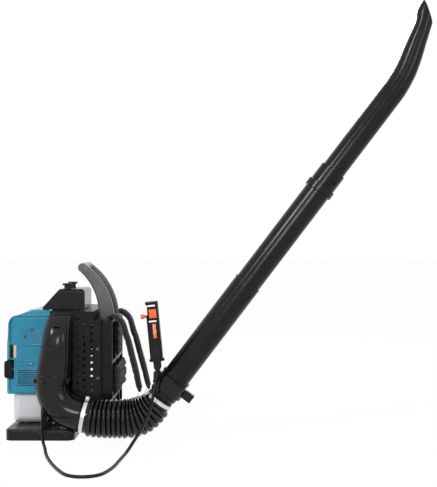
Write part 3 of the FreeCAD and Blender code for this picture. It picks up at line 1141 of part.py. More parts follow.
def make_grip():
    """The control handle's two half shells, its controls, and the foot that it tilts on."""
    wide, deep = "grip_half_width", "grip_half_depth"
    column = slab("GripColumn", "z", [("-" + wide, "-" + deep, 9), (wide, "-" + deep, 9), (wide, deep, 9),
                                      ("-" + wide, deep, 9)], 0, "grip_length")
    inside = slab("GripInside", "z", [("grip_wall - grip_half_width", "grip_wall - grip_half_depth", 7),
                                      ("grip_half_width - grip_wall", "grip_wall - grip_half_depth", 7),
                                      ("grip_half_width - grip_wall", "grip_half_depth - grip_wall", 7),
                                      ("grip_wall - grip_half_width", "grip_half_depth - grip_wall", 7)],
                  "grip_wall", "grip_length - grip_wall")
    flange = rod("GripFlange", "flange_radius + 1", 0, 6, (0, 0, 0))
    body = less("GripBody", join("GripSolid", column, flange), inside)
    drop = "(grip_foot - pivot_height)"
    ears, holes = [], []
    for n, low in enumerate(("knuckle_width / 2 + fit_gap", "-knuckle_width / 2 - fit_gap - clevis_thick")):
        ear = rod("GripEar%d" % n, "pivot_radius", low, low + " + clevis_thick", (0, 0, "-" + drop), "y")
        web = box("GripEarWeb%d" % n, ("-pivot_radius", "pivot_radius"), (low, low + " + clevis_thick"),
                  ("-" + drop, 1))
        ears += [ear, web]
    hole = rod("GripPivotHole", "pivot_pin_radius + running_gap", -30, 30, (0, 0, "-" + drop), "y")
    well = box("SwitchWell", ("-switch_width / 2 + 2", "switch_width / 2 + 2"),
               ("-grip_half_depth - 1", "grip_wall - grip_half_depth + 5"),
               ("switch_low + rocker_margin - fit_gap", "switch_high - rocker_margin + fit_gap"))
    slot = box("TriggerSlot", ("-trigger_width / 2 + 3", "trigger_width / 2 + 3"),
               ("-grip_half_depth - 1", "grip_wall - grip_half_depth + 1"), ("trigger_low", "trigger_high"))
    cruise_hole = rod("CruiseHole", "cruise_radius - 1 + running_gap", "-grip_half_width - 1",
                      "grip_wall - grip_half_width + 1", (0, 0, "cruise_height"), "x")
    whole = less("GripWhole", join("GripEared", body, *ears), hole, well, slot, cruise_hole)
    for name, low, high in (("right", "-60", 0), ("left", 0, "60")):
        half = box("GripHalf_" + name, (-60, 60), (low, high), (-60, "grip_length + 10"))
        node("handle_shell_" + name, grip_frame(both("GripShell_" + name, whole, half)))
    rocker = box("Rocker", ("fit_gap - switch_width / 2 + 2", "switch_width / 2 + 2 - fit_gap"),
                 ("-grip_half_depth - 3", "grip_wall + 4 - grip_half_depth"),
                 ("switch_low + rocker_margin", "switch_high - rocker_margin"))
    node("stop_switch", grip_frame(group("StopSwitch", rocker)))
    trigger = slab("Trigger", "x", [("-grip_half_depth - 1", "trigger_high - 1", 0.5),
                                    ("-grip_half_depth - trigger_stand", "trigger_low + 12", 6),
                                    ("-grip_half_depth - trigger_stand + 3", "trigger_low + 2", 2),
                                    ("-grip_half_depth + 1", "trigger_low + 2", 1),
                                    ("-grip_half_depth + 5", "trigger_high - 1", 0.5)],
                   "-trigger_width / 2 + 3 + fit_gap", "trigger_width / 2 + 3 - fit_gap")
    node("throttle_trigger", grip_frame(group("ThrottleTrigger", trigger)))
    stem = rod("CruiseStem", "cruise_radius - 1", "-grip_half_width - 12", "grip_wall - grip_half_width + 4",
               (0, 0, "cruise_height"), "x")
    knob = rod("CruiseKnob", "cruise_radius + 1", "-grip_half_width - 16", "-grip_half_width - 6",
               (0, 0, "cruise_height"), "x")
    node("cruise_lever", grip_frame(join("Cruise", stem, knob)))
    pivot = pivot_spot()
    knuckle = Part.makeCylinder(num("pivot_radius") - 0.5, num("knuckle_width"),
                                pivot - Vector(0, num("knuckle_width") / 2, 0), Vector(0, 1, 0))
    reach = num("knuckle_width / 2 + fit_gap + clevis_thick + 2")
    pin = Part.makeCylinder(num("pivot_pin_radius"), 2 * reach, pivot - Vector(0, reach, 0), Vector(0, 1, 0))
    drop = Vector(0, 0, num("pivot_radius") + 7)
    stalk = Part.makeBox(12, 13, drop.z, pivot - drop - Vector(6, 6.5, 0))
    aim = on_tube(num("(ring_start + ring_end) / 2")) - (pivot - drop)
    arm = Part.makeCylinder(7, aim.Length, pivot - drop, aim)
    ring = Part.makeCylinder(num("pipe_radius + ring_thick"), 300, on_tube(-60), on_tube(1) - on_tube(0))
    fall = (cable_route()[-1] - pivot)
    length, fall = fall.Length, fall.normalize()
    neck = Part.makeCylinder(3.2, num("pivot_radius") + 7, pivot, fall)
    top = num("pivot_radius") + 5.5
    boot = Part.makeCone(num("boot_top_radius"), num("boot_end_radius"), length - top, pivot + fall * top, fall)
    foot = knuckle.fuse([pin, stalk, arm]).cut(ring)
    node("handle_foot", fixed("HandleFoot", foot.fuse([neck, boot])))


def pivot_spot():
    """The handle's tilt axis, under the middle of its leaning foot."""
    drop, lean = num("grip_foot - pivot_height"), math.radians(num("grip_lean"))
    return Vector(num("grip_place") + drop * math.sin(lean), num("grip_side"),
                  num("grip_foot") - drop * math.cos(lean))


def cable_route():
    """The throttle cable's points, from its gland over the floor and up to the handle's boot."""
    floor = num("cable_radius") + 0.05
    points = [(-52, -168, 72), (-51, -196, 60), (-48, -224, 38), (-40, -255, 11), (-22, -318, floor),
              (-4, -402, floor), (23, -487, floor), (55, -566, floor), (84, -620, floor),
              (124, -633, floor), (161, -614, floor), (178, -562, floor), (187, -505, floor),
              (191, -446, floor), (203, -394, 12), (222, -350, 40), (243, -305, 72), (254, -268, 105)]
    points = [Vector(*point) for point in points]
    pivot = pivot_spot()
    fall = (Vector(259, -243, 136) - pivot).normalize()
    return points + [pivot + fall * 78, pivot + fall * 36]


def cable_tube(points):
    """A round tube along straight runs joined by arcs as large as the runs allow."""
    edges = []
    start = points[0]
    for before, corner, after in zip(points, points[1:], points[2:]):
        back, onward = before - corner, after - corner
        reach = 0.45 * min(back.Length, onward.Length)
        half = back.getAngle(onward) / 2
        radius = reach * math.tan(half)
        print("cable bend radius %.0f, turn %.0f" % (radius, 180 - math.degrees(2 * half)))
        back, onward = back.normalize(), onward.normalize()
        middle = corner + (back + onward).normalize() * (radius / math.sin(half) - radius)
        entry, leave = corner + back * reach, corner + onward * reach
        edges += [Part.makeLine(start, entry), Part.Arc(entry, middle, leave).toShape()]
        start = leave
    edges.append(Part.makeLine(start, points[-1]))
    path = Part.Wire(edges)
    radius = num("cable_radius")
    heading = points[1] - points[0]
    section_wire = Part.Wire(Part.Circle(points[0], heading, radius).toShape())
    tube = path.makePipeShell([section_wire], True, False)
    print("cable length %.0f, volume share %.4f"
          % (path.Length, tube.Volume / (path.Length * math.pi * radius ** 2)))
    return tube


def make_cable():
    points = cable_route()
    split = (points[11] + points[12]) / 2
    node("throttle_cable_lower", fixed("CableLower", cable_tube(points[:12] + [split])))
    node("throttle_cable_upper", fixed("CableUpper", cable_tube([split] + points[12:])))
    start, heading = points[0], (points[1] - points[0]).normalize()
    middle, half = num("gland_place"), num("gland_half")
    depth = num("-cradle_side - 4 - gland_side")
    post = Part.makeBox(2 * half, depth, num("cradle_bottom") + 18 - num("base_height"),
                        Vector(middle - half, num("gland_side"), num("base_height")))
    length = (start.y - num("gland_side")) / heading.y + 4
    gland = Part.makeCone(7.5, num("cable_radius") + 1.2, length, start - heading * length, heading)
    node("cable_gland", fixed("CableGland", post.fuse(gland)))
    stand_at = Vector(middle, num("gland_side") + depth / 2, num("cradle_bottom") + 18)
    fitting = Part.makeCylinder(4, 10, stand_at).fuse(Part.makeCylinder(5, 3, stand_at))
    node("fuel_fitting", fixed("FuelFitting", fitting))


def make_screws():
    """Pan-head screws of the guard and the engine cover."""
    heads = []
    radius, head = num("screw_radius"), num("screw_head")
    guard, cover = num("guard_side"), num("cover_side")
    for side in (-1, 1):
        for x, reach, z in ((96, guard, 248), (96, guard, 166), (-94, cover, 299), (-115, cover, 279)):
            heads.append(Part.makeCylinder(radius, head, Vector(x, side * reach, z), Vector(0, side, 0)))
    node("housing_screws", fixed("HousingScrews", Part.makeCompound(heads)))


def make_primer():
    """A soft dome through the cover's left side, with a flange behind the wall."""
    centre = ("primer_place", 0, "primer_height")
    stem = rod("PrimerStem", "primer_radius", "cover_side - 8", "cover_side", centre, "y")
    flange = rod("PrimerFlange", "primer_radius + 3", "cover_side - 8", "cover_side - cover_wall - 0.1",
                 centre, "y")
    dome = doc.addObject("Part::Ellipsoid", "PrimerDome")
    bind(dome, Radius1="primer_rise", Radius2="primer_radius", Radius3="primer_radius", Angle1=0)
    stand(dome, ("primer_place", "cover_side", "primer_height"), (1, 0, 0), "-90")
    node("primer_bulb", join("Primer", stem, flange, dome))


for make in (make_base, make_springs, make_fan_housing, make_impeller, make_crank, make_crankcase, make_piston,
             make_cylinder, make_starter, make_cover, make_tank, make_carburettor, make_cleaner, make_frame,
             make_guard, make_carry_handle, make_pads, make_straps, make_duct, make_elbow, make_hose,
             make_clamps, make_pipe, make_tubes, make_nozzle, make_grip, make_cable, make_screws, make_primer):
    make()
    doc.recompute()

doc.recompute()
failed = [thing.Name for thing in doc.Objects if {"Invalid", "Error"} & set(thing.State)]
if failed:
    raise SystemExit("failed: %s" % failed)
os.makedirs("parts", exist_ok=True)
for name, thing in nodes:
    shape = thing.Shape
    if shape.isNull() or not shape.isValid() or not shape.Solids:
        raise SystemExit("bad shape: %s" % name)
for name, thing in nodes:
    thing.Shape.exportStep("parts/%s.step" % name)
print("nodes", len(nodes))
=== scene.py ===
import math
import bpy
import bmesh
from mathutils import Matrix, Vector


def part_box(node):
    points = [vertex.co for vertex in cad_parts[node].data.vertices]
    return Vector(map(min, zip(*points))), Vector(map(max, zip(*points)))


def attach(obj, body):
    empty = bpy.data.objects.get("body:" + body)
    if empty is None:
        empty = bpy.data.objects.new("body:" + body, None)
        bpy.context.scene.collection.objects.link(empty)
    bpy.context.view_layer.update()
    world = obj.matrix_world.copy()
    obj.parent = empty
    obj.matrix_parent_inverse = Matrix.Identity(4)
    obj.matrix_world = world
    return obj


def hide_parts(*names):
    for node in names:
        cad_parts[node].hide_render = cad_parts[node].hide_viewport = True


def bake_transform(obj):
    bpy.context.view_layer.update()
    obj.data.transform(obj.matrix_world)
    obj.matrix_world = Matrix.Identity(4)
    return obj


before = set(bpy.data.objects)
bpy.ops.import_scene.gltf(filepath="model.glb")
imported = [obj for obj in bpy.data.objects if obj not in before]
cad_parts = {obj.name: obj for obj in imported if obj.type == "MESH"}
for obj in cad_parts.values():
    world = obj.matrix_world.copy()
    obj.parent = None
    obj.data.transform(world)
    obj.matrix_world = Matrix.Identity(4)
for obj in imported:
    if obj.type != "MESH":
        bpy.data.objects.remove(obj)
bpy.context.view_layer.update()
print("frame loaded,", len(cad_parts), "nodes")

cameraSpot = dict(place=(0.464, -2.958, 0.5685), aim=(0.4328, 0.0, 0.5423), lens=74.21, reach=60)


def addObject(name, data):
    made = bpy.data.objects.new(name, data)
    bpy.context.collection.objects.link(made)
    return made


def aimAt(thing, place, aim):
    thing.location = place
    thing.rotation_mode = "QUATERNION"
    thing.rotation_quaternion = (Vector(aim) - Vector(place)).to_track_quat("-Z", "Y")


def placeCamera():
    data = bpy.data.cameras.new("camera")
    camera = addObject("camera", data)
    aimAt(camera, cameraSpot["place"], cameraSpot["aim"])
    data.lens = cameraSpot["lens"]
    data.clip_end = cameraSpot["reach"]
    bpy.context.scene.camera = camera


placeCamera()
print("camera placed")


# finishes: a shader first, then its clouds, its grain and its worn edges

def startFinish(name, settings):
    finish = bpy.data.materials.new(name)
    finish.use_nodes = True
    shader = finish.node_tree.nodes["Principled BSDF"]
    for socket, value in settings.items():
        shader.inputs[socket].default_value = value
    return finish, finish.node_tree, shader


def addNode(tree, kind, sockets=None, **options):
    made = tree.nodes.new("ShaderNode" + kind)
    for option, value in options.items():
        setattr(made, option, value)
    for socket, value in (sockets or {}).items():
        if isinstance(value, bpy.types.NodeSocket):
            tree.links.new(value, made.inputs[socket])
        else:
            made.inputs[socket].default_value = value
    return made


def placeOn(tree, stretch=(1, 1, 1), turn=(0, 0, 0), useMap=False):
    source = addNode(tree, "TexCoord").outputs["UV" if useMap else "Object"]
    return addNode(tree, "Mapping", {"Vector": source, "Scale": stretch,
            "Rotation": [math.radians(t) for t in turn]}).outputs[0]


def cloud(tree, scale, detail=4, stretch=(1, 1, 1), turn=(0, 0, 0)):
    return addNode(tree, "TexNoise", {"Vector": placeOn(tree, stretch, turn), "Scale": scale,
            "Detail": detail}).outputs[0]


def pebbles(tree, scale):
    return addNode(tree, "TexVoronoi", {"Vector": placeOn(tree), "Scale": scale},
        feature="SMOOTH_F1").outputs["Distance"]


def spread(tree, value, low, high, start=0.0, end=1.0):
    return addNode(tree, "MapRange", {"Value": value, "From Min": low, "From Max": high,
            "To Min": start, "To Max": end}).outputs[0]


def tones(tree, value, *stops):
    ramp = addNode(tree, "ValToRGB", {"Fac": value})
    while len(ramp.color_ramp.elements) < len(stops):
        ramp.color_ramp.elements.new(0.5)
    for element, (place, colour) in zip(ramp.color_ramp.elements, stops):
        element.position = place
        element.color = (*colour, 1)
    return ramp.outputs[0]


def layOver(tree, below, above, share):
    made = addNode(tree, "Mix", {0: share}, data_type="RGBA")
    for socket, colour in ((6, below), (7, above)):
        if isinstance(colour, bpy.types.NodeSocket):
            tree.links.new(colour, made.inputs[socket])
        else:
            made.inputs[socket].default_value = (*colour, 1)
    return made.outputs[2]


def roughen(tree, shader, height, depth):
    bump = addNode(tree, "Bump", {"Height": height, "Distance": depth, "Strength": 1.0})
    feed = shader.inputs["Normal"]
    if feed.is_linked:
        tree.links.new(feed.links[0].from_socket, bump.inputs["Normal"])
    tree.links.new(bump.outputs[0], feed)


def reckon(tree, operation, first, second):
    return addNode(tree, "Math", {0: first, 1: second}, operation=operation).outputs[0]


# where nearly all of a cloud's values lie
cloudSpan = (0.3, 0.7)


def blotches(tree, value, dark, light):
    return tones(tree, value, (cloudSpan[0], dark), (cloudSpan[1], light))


def paint(tree, shader, colour, value, roughness):
    tree.links.new(colour, shader.inputs["Base Color"])
    tree.links.new(spread(tree, value, *cloudSpan, *roughness), shader.inputs["Roughness"])


edgeLook = dict(flat=0.995, sharp=0.86, cloud=70, shows=(0.2, 0.5))


def wornEdge(tree, width):
    soft = addNode(tree, "Bevel", {"Radius": width}, samples=3)
    flat = addNode(tree, "NewGeometry")
    turn = addNode(tree, "VectorMath", {0: soft.outputs[0], 1: flat.outputs["Normal"]},
        operation="DOT_PRODUCT").outputs["Value"]
    edge = spread(tree, turn, edgeLook["flat"], edgeLook["sharp"])
    rub = reckon(tree, "MULTIPLY", edge, cloud(tree, edgeLook["cloud"], 6))
    return spread(tree, rub, *edgeLook["shows"])


# what a finish has unless its own look says otherwise; depths are in metres

plasticUsual = dict(gloss=0.45, coat=0.0, coatRoughness=0.08, patch=14, smear=40,
    dust=(0.2, 0.19, 0.17), dustScale=160, dustShows=(0.6, 0.85), dustShare=0.12,
    wear=None, wearWidth=0.0012, ripple=60,
    rippleDepth=0.0003, scratches=None, scratchTurn=(0, 0, 0), scratchScale=300,
    scratchDepth=0.00003)


def mouldedPlastic(name, look):
    look = {**plasticUsual, **look}
    finish, tree, shader = startFinish(name, {
        "Specular IOR Level": look["gloss"], "Coat Weight": look["coat"],
        "Coat Roughness": look["coatRoughness"]})
    colour = blotches(tree, cloud(tree, look["patch"], 6), look["dark"], look["light"])
    dust = spread(tree, cloud(tree, look["dustScale"], 8), *look["dustShows"], 0.0, look["dustShare"])
    colour = layOver(tree, colour, look["dust"], dust)
    if look["wear"]:
        colour = layOver(tree, colour, look["wear"], wornEdge(tree, look["wearWidth"]))
    paint(tree, shader, colour, cloud(tree, look["smear"], 5), look["roughness"])
    roughen(tree, shader, pebbles(tree, look["grain"]), look["grainDepth"])
    roughen(tree, shader, cloud(tree, look["ripple"], 2), look["rippleDepth"])
    if look["scratches"]:
        drawn = cloud(tree, look["scratchScale"], 2, look["scratches"], look["scratchTurn"])
        roughen(tree, shader, drawn, look["scratchDepth"])
    return finish


metalUsual = dict(patch=30, stain=None, stainScale=18, stainShows=(0.52, 0.72), stainShare=0.6,
    smear=120, brush=(1, 1, 1), brushScale=500, brushDepth=0.00008, cast=None,
    castDepth=0.0004)


def metal(name, look):
    look = {**metalUsual, **look}
    finish, tree, shader = startFinish(name, {"Metallic": 1.0})
    colour = blotches(tree, cloud(tree, look["patch"], 6), look["dark"], look["light"])
    if look["stain"]:
        patch = cloud(tree, look["stainScale"], 8)
        stain = spread(tree, patch, *look["stainShows"], 0.0, look["stainShare"])
        colour = layOver(tree, colour, look["stain"], stain)
    paint(tree, shader, colour, cloud(tree, look["smear"], 4, look["brush"]), look["roughness"])
    if look["cast"]:
        roughen(tree, shader, pebbles(tree, look["cast"]), look["castDepth"])
    roughen(tree, shader, cloud(tree, look["brushScale"], 3, look["brush"]), look["brushDepth"])
    return finish


clothUsual = dict(sheen=0.25, sheenRoughness=0.5, gloss=0.2, turn=(0, 0, 0), useMap=False,
    slack=0.35, fuzz=45, fuzzShows=(0.5, 0.8), fuzzShare=0.35,
    roughness=(0.75, 0.95), creases=30, creaseDepth=0.0006)


def wovenCloth(name, look):
    look = {**clothUsual, **look}
    finish, tree, shader = startFinish(name, {
        "Sheen Weight": look["sheen"], "Sheen Roughness": look["sheenRoughness"],
        "Specular IOR Level": look["gloss"]})
    place = placeOn(tree, turn=look["turn"], useMap=look["useMap"])
    threads = [addNode(tree, "TexWave", {"Vector": place, "Scale": scale, "Detail": 1.0,
                "Distortion": look["slack"]},
            bands_direction=way).outputs["Fac"]
        for way, scale in (("X", look["warp"]), ("Y" if look["useMap"] else "Z", look["weft"]))]
    weave = reckon(tree, "MULTIPLY", *threads)
    fuzz = cloud(tree, look["fuzz"], 8)
    colour = layOver(tree, tones(tree, weave, (0.0, look["dark"]), (0.8, look["light"])), look["light"],
        spread(tree, fuzz, *look["fuzzShows"], 0.0, look["fuzzShare"]))
    paint(tree, shader, colour, fuzz, look["roughness"])
    roughen(tree, shader, weave, look["depth"])
    roughen(tree, shader, cloud(tree, look["creases"], 3), look["creaseDepth"])
    return finish


def plastic(dark, light, gloss, roughness, grain=900, grainDepth=0.00012, **others):
    # a nearly black plastic has one number for each tone, and is a little bluer than grey
    dark, light = (tone if isinstance(tone, tuple) else (tone, tone, round(tone * 1.05, 5))
        for tone in (dark, light))
    return dict(dark=dark, light=light, gloss=gloss, roughness=roughness, grain=grain,
        grainDepth=grainDepth, **others)


plasticLooks = {
    "framePlastic": plastic(0.0035, 0.007, 0.15, (0.26, 0.38), 1100, 0.0001, wear=(0.07, 0.07, 0.072),
        dustShare=0.08),
    "basePlastic": plastic(0.005, 0.009, 0.2, (0.22, 0.34), 800, 0.0001, wear=(0.09, 0.09, 0.092),
        dustShare=0.06, dustScale=90, rippleDepth=0.0001),
    "housingPlastic": plastic(0.004, 0.008, 0.15, (0.24, 0.36), 900, 0.00006, wear=(0.06, 0.06, 0.062)),
    "guardPlastic": plastic(0.0035, 0.007, 0.16, (0.24, 0.36), 1300, 0.00008, dustShare=0.1),
    "ductPlastic": plastic(0.003, 0.0065, 0.27, (0.12, 0.2), 700, 0.00004, ripple=25,
        wear=(0.05, 0.05, 0.052), dustShare=0.05),
    "coverPlastic": plastic((0.004, 0.175, 0.285), (0.006, 0.215, 0.345), 0.4, (0.16, 0.24), 400, 0.00005,
        coat=0.15, ripple=90, rippleDepth=0.0001, wear=(0.12, 0.38, 0.5),
        wearWidth=0.0008, dustShare=0.06),
    "cleanerPlastic": plastic(0.0025, 0.005, 0.22, (0.12, 0.2), 600, 0.00003, coat=0.1,
        wear=(0.06, 0.06, 0.06), dustShare=0.08, rippleDepth=0.0002),
    "tubePlastic": plastic(0.003, 0.0065, 0.2, (0.16, 0.26), 1000, 0.00003, scratches=(0.04, 1, 1),
        scratchTurn=(0, 52.8, 0), wear=(0.03, 0.03, 0.03), rippleDepth=0.0001,
        dustShare=0.06),
    "handlePlastic": plastic(0.07, 0.1, 0.4, (0.24, 0.34), 1000, 0.0001, wear=(0.3, 0.3, 0.31),
        dust=(0.05, 0.05, 0.05)),
    "gripPlastic": plastic(0.0035, 0.007, 0.17, (0.28, 0.4), 1600, 0.0001, wear=(0.06, 0.06, 0.06)),
    "orangePlastic": plastic((0.75, 0.075, 0.013), (0.92, 0.12, 0.024), 0.5, (0.25, 0.36),
        dust=(0.25, 0.03, 0.01), wear=(0.95, 0.35, 0.2), wearWidth=0.0006),
    "whitePlastic": plastic((0.68, 0.68, 0.66), (0.82, 0.82, 0.8), 0.5, (0.25, 0.35),
        dust=(0.3, 0.29, 0.26)),
    "beigePlastic": plastic((0.42, 0.38, 0.28), (0.55, 0.5, 0.38), 0.4, (0.35, 0.5),
        dust=(0.15, 0.13, 0.1)),
    "hoseRubber": plastic(0.003, 0.007, 0.3, (0.12, 0.2), 500, 0.00004, ripple=120, rippleDepth=0.0002,
        dustShare=0.1, dustScale=60),
    "cableRubber": plastic(0.004, 0.008, 0.18, (0.26, 0.38), 2200, 0.00004, dustShare=0.15,
        rippleDepth=0.0001),
    "softRubber": plastic((0.008, 0.008, 0.00832), (0.013, 0.013, 0.01352), 0.15, (0.5, 0.65), 1500, 0.0002,
        dustShare=0.2),
}

def metalTones(dark, light, roughness, **others):
    return {"dark": dark, "light": light, "roughness": roughness, **others}


metalLooks = {
    "springSteel": metalTones((0.8, 0.8, 0.78), (0.95, 0.95, 0.93), (0.3, 0.45)),
    "screwSteel": metalTones((0.42, 0.42, 0.42), (0.62, 0.62, 0.6), (0.25, 0.4), stain=(0.2, 0.18, 0.15)),
    "clampSteel": metalTones((0.6, 0.59, 0.57), (0.78, 0.77, 0.75), (0.2, 0.35), brush=(1, 0.08, 1)),
    "brass": metalTones((0.6, 0.4, 0.16), (0.8, 0.58, 0.28), (0.25, 0.4)),
    "castAlloy": metalTones((0.38, 0.38, 0.37), (0.55, 0.55, 0.54), (0.42, 0.58), cast=700,
        stain=(0.12, 0.11, 0.1)),
    "bearingSteel": metalTones((0.55, 0.55, 0.56), (0.72, 0.72, 0.73), (0.14, 0.25)),
    "blackScrew": metalTones((0.05, 0.05, 0.05), (0.12, 0.12, 0.12), (0.3, 0.45)),
    "exhaustSteel": metalTones((0.3, 0.27, 0.24), (0.5, 0.46, 0.42), (0.4, 0.6), stain=(0.2, 0.09, 0.04),
        stainScale=30, stainShare=0.8),
}

clothLooks = dict(
    padCloth=dict(dark=(0.006, 0.006, 0.0065), light=(0.024, 0.024, 0.025), warp=260, weft=260,
        turn=(0, 0, 90), depth=0.0005),
    strapCloth=dict(dark=(0.006, 0.006, 0.006), light=(0.022, 0.022, 0.023), warp=300, weft=300,
        useMap=True, depth=0.0004),
    webbingCloth=dict(dark=(0.007, 0.007, 0.007), light=(0.03, 0.03, 0.031), warp=180, weft=420,
        useMap=True, depth=0.0006, sheen=0.4),
    ropeNylon=dict(dark=(0.3, 0.3, 0.28), light=(0.75, 0.74, 0.7), warp=400, weft=400,
        depth=0.0005),
)


tankLook = {"wall": ((0.9, 0.895, 0.87), (0.97, 0.965, 0.94)), "fuel": (0.86, 0.83, 0.76),
    "fuelTop": (0.058, 0.054), "wave": 0.012, "roughness": (0.3, 0.42), "grainDepth": 0.00025,
    "rippleDepth": 0.0008,
    "shader": {"Subsurface Weight": 0.6, "Subsurface Scale": 0.03, "Subsurface Radius": (1.0, 0.9, 0.75),
        "Specular IOR Level": 0.4}}


def milkyTank():
    finish, tree, shader = startFinish("tankMilky", tankLook["shader"])
    height = addNode(tree, "SeparateXYZ", {0: placeOn(tree)}).outputs["Z"]
    level = reckon(tree, "ADD", height, reckon(tree, "MULTIPLY", cloud(tree, 9, 3), tankLook["wave"]))
    wall = blotches(tree, cloud(tree, 25, 5), *tankLook["wall"])
    colour = layOver(tree, wall, tankLook["fuel"], spread(tree, level, *tankLook["fuelTop"]))
    paint(tree, shader, colour, cloud(tree, 50, 4), tankLook["roughness"])
    roughen(tree, shader, pebbles(tree, 450), tankLook["grainDepth"])
    roughen(tree, shader, cloud(tree, 35, 2), tankLook["rippleDepth"])
    return finish


feltLook = dict(tones=((0.42, 0.36, 0.26), (0.66, 0.6, 0.48)), roughness=(0.85, 1.0), depth=0.0015)


def filterFelt():
    finish, tree, shader = startFinish("filterFelt", {"Sheen Weight": 0.5, "Specular IOR Level": 0.1})
    fibre = cloud(tree, 220, 9, (1, 3, 1))
    paint(tree, shader, blotches(tree, fibre, *feltLook["tones"]), fibre, feltLook["roughness"])
    roughen(tree, shader, fibre, feltLook["depth"])
    return finish


finishes = {name: mouldedPlastic(name, look) for name, look in plasticLooks.items()}
finishes.update({name: metal(name, look) for name, look in metalLooks.items()})
finishes.update({name: wovenCloth(name, look) for name, look in clothLooks.items()})
finishes["tankMilky"] = milkyTank()
finishes["filterFelt"] = filterFelt()
print("finishes made,", len(finishes))


# which solids of the frame wear each finish

finishNodes = {
    "basePlastic": "base_plate",
    "framePlastic": "back_frame",
    "guardPlastic": "intake_guard",
    "housingPlastic": "engine_cradle fan_housing_rear fan_housing_front starter_housing starter_pulley"
    " impeller ignition_coil fuel_cap",
    "ductPlastic": "outlet_duct elbow handle_bracket",
    "tubePlastic": "swivel_pipe lower_tube middle_tube nozzle_tube",
    "coverPlastic": "engine_cover",
    "cleanerPlastic": "air_filter_base air_filter_cover",
    "handlePlastic": "carry_handle",
    "gripPlastic": "handle_shell_left handle_shell_right starter_grip filter_knob_left filter_knob_right",
    "orangePlastic": "throttle_trigger stop_switch cruise_lever choke_lever",
    "tankMilky": "fuel_tank",
    "hoseRubber": "bellows_hose",
    "cableRubber": "throttle_cable_lower throttle_cable_upper",
    "softRubber": "cable_gland handle_foot primer_bulb",
    "castAlloy": "crankcase cylinder carburettor flywheel piston",
    "bearingSteel": "crank_bearings crankshaft connecting_rod",
    "springSteel": "anti_vibration_springs",
    "clampSteel": "hose_clamp_lower hose_clamp_upper",
    "exhaustSteel": "muffler",
    "screwSteel": "spark_plug throttle_lever",
    "blackScrew": "housing_screws",
    "brass": "fuel_fitting",
    "filterFelt": "air_filter_element",
    "padCloth": "back_pads",
    "strapCloth": "shoulder_strap_left shoulder_strap_right",
    "webbingCloth": "strap_webbing",
    "ropeNylon": "starter_rope",
}


def dressNodes():
    for name, nodes in finishNodes.items():
        for node in nodes.split():
            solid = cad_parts[node]
            if not solid.material_slots:
                solid.data.materials.append(finishes[name])
            for slot in solid.material_slots:
                slot.material = finishes[name]


dressNodes()
print("solids dressed")


# small helpers for the new pieces

def addPiece(name, shape, finish, body="machine", sharp=40):
    # the shape is a bmesh or a mesh that is ready; a piece given no body is left unattached
    mesh = shape
    if isinstance(shape, bmesh.types.BMesh):
        mesh = bpy.data.meshes.new(name)
        shape.to_mesh(mesh)
        shape.free()
    mesh.materials.clear()
    mesh.materials.append(finishes[finish])
    mesh.shade_smooth()
    mesh.set_sharp_from_angle(angle=math.radians(sharp))
    piece = addObject(name, mesh)
    if body:
        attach(piece, body)
    return piece


def pullRing(bm, verts, moves):
    # draws a tube: the ring is extruded once for each place it is moved to
    ring = set(verts)
    edges = [edge for edge in bm.edges if edge.verts[0] in ring and edge.verts[1] in ring]
    bmesh.ops.transform(bm, matrix=moves[0], verts=verts)
    for before, move in zip(moves, moves[1:]):
        made = bmesh.ops.extrude_edge_only(bm, edges=edges)["geom"]
        edges = [part for part in made if isinstance(part, bmesh.types.BMEdge)]
        verts = [part for part in made if isinstance(part, bmesh.types.BMVert)]
        bmesh.ops.transform(bm, matrix=move @ before.inverted(), verts=verts)
    return verts


def acrossRun(spot, heading, high=1.0, wide=1.0):
    # a ring's place on a run in the upright plane: its X is the upper side, its Y the operator's right
    turn = math.radians(heading)
    up, ahead = Vector((-math.sin(turn), 0, math.cos(turn))), Vector((math.cos(turn), 0, math.sin(turn)))
    place = Matrix((up * high, Vector((0, -1, 0)) * wide, ahead)).transposed().to_4x4()
    place.translation = spot
    return place


def closeEnds(bm):
    bmesh.ops.holes_fill(bm, edges=[edge for edge in bm.edges if edge.is_boundary], sides=0)
    bmesh.ops.recalc_face_normals(bm, faces=bm.faces)


def addBlock(bm, corner, other, edge=0.0, segments=2):
    # a box between two opposite corners with rounded edges
    made = bmesh.ops.create_cube(bm, size=1)["verts"]
    low = Vector([min(pair) for pair in zip(corner, other)])
    high = Vector([max(pair) for pair in zip(corner, other)])
    bmesh.ops.scale(bm, vec=high - low, verts=made)
    bmesh.ops.translate(bm, vec=(high + low) / 2, verts=made)
    if edge:
        around = {e for v in made for e in v.link_edges}
        bmesh.ops.bevel(bm, geom=list(around), offset=edge, segments=segments, affect="EDGES",
            profile=0.5, material=-1)


def addPeg(bm, centre, radius, length, around=16):
    # a peg that points to the operator's right
    made = bmesh.ops.create_cone(bm, cap_ends=True, segments=around, radius1=radius, radius2=radius,
        depth=length)["verts"]
    place = Vector((0, -1, 0)).to_track_quat("Z", "Y").to_matrix().to_4x4()
    place.translation = Vector(centre)
    bmesh.ops.transform(bm, matrix=place, verts=made)


def unitRing(bm, around):
    return bmesh.ops.create_circle(bm, segments=around, radius=1)["verts"]


def raiseRing(bm, ring, x, y, radius, stops):
    # pulls a level ring up through the stops, each a height and a share of the radius
    pullRing(bm, ring, [
        Matrix.Translation((x, y, z)) @ Matrix.Diagonal((radius * share, radius * share, 1, 1))
        for z, share in stops])


def thicken(piece, thick, offset=0):
    wall = piece.modifiers.new("thickness", "SOLIDIFY")
    wall.thickness = thick
    wall.offset = offset


# cords: the throttle cable's route is the same as in the part's source, in metres

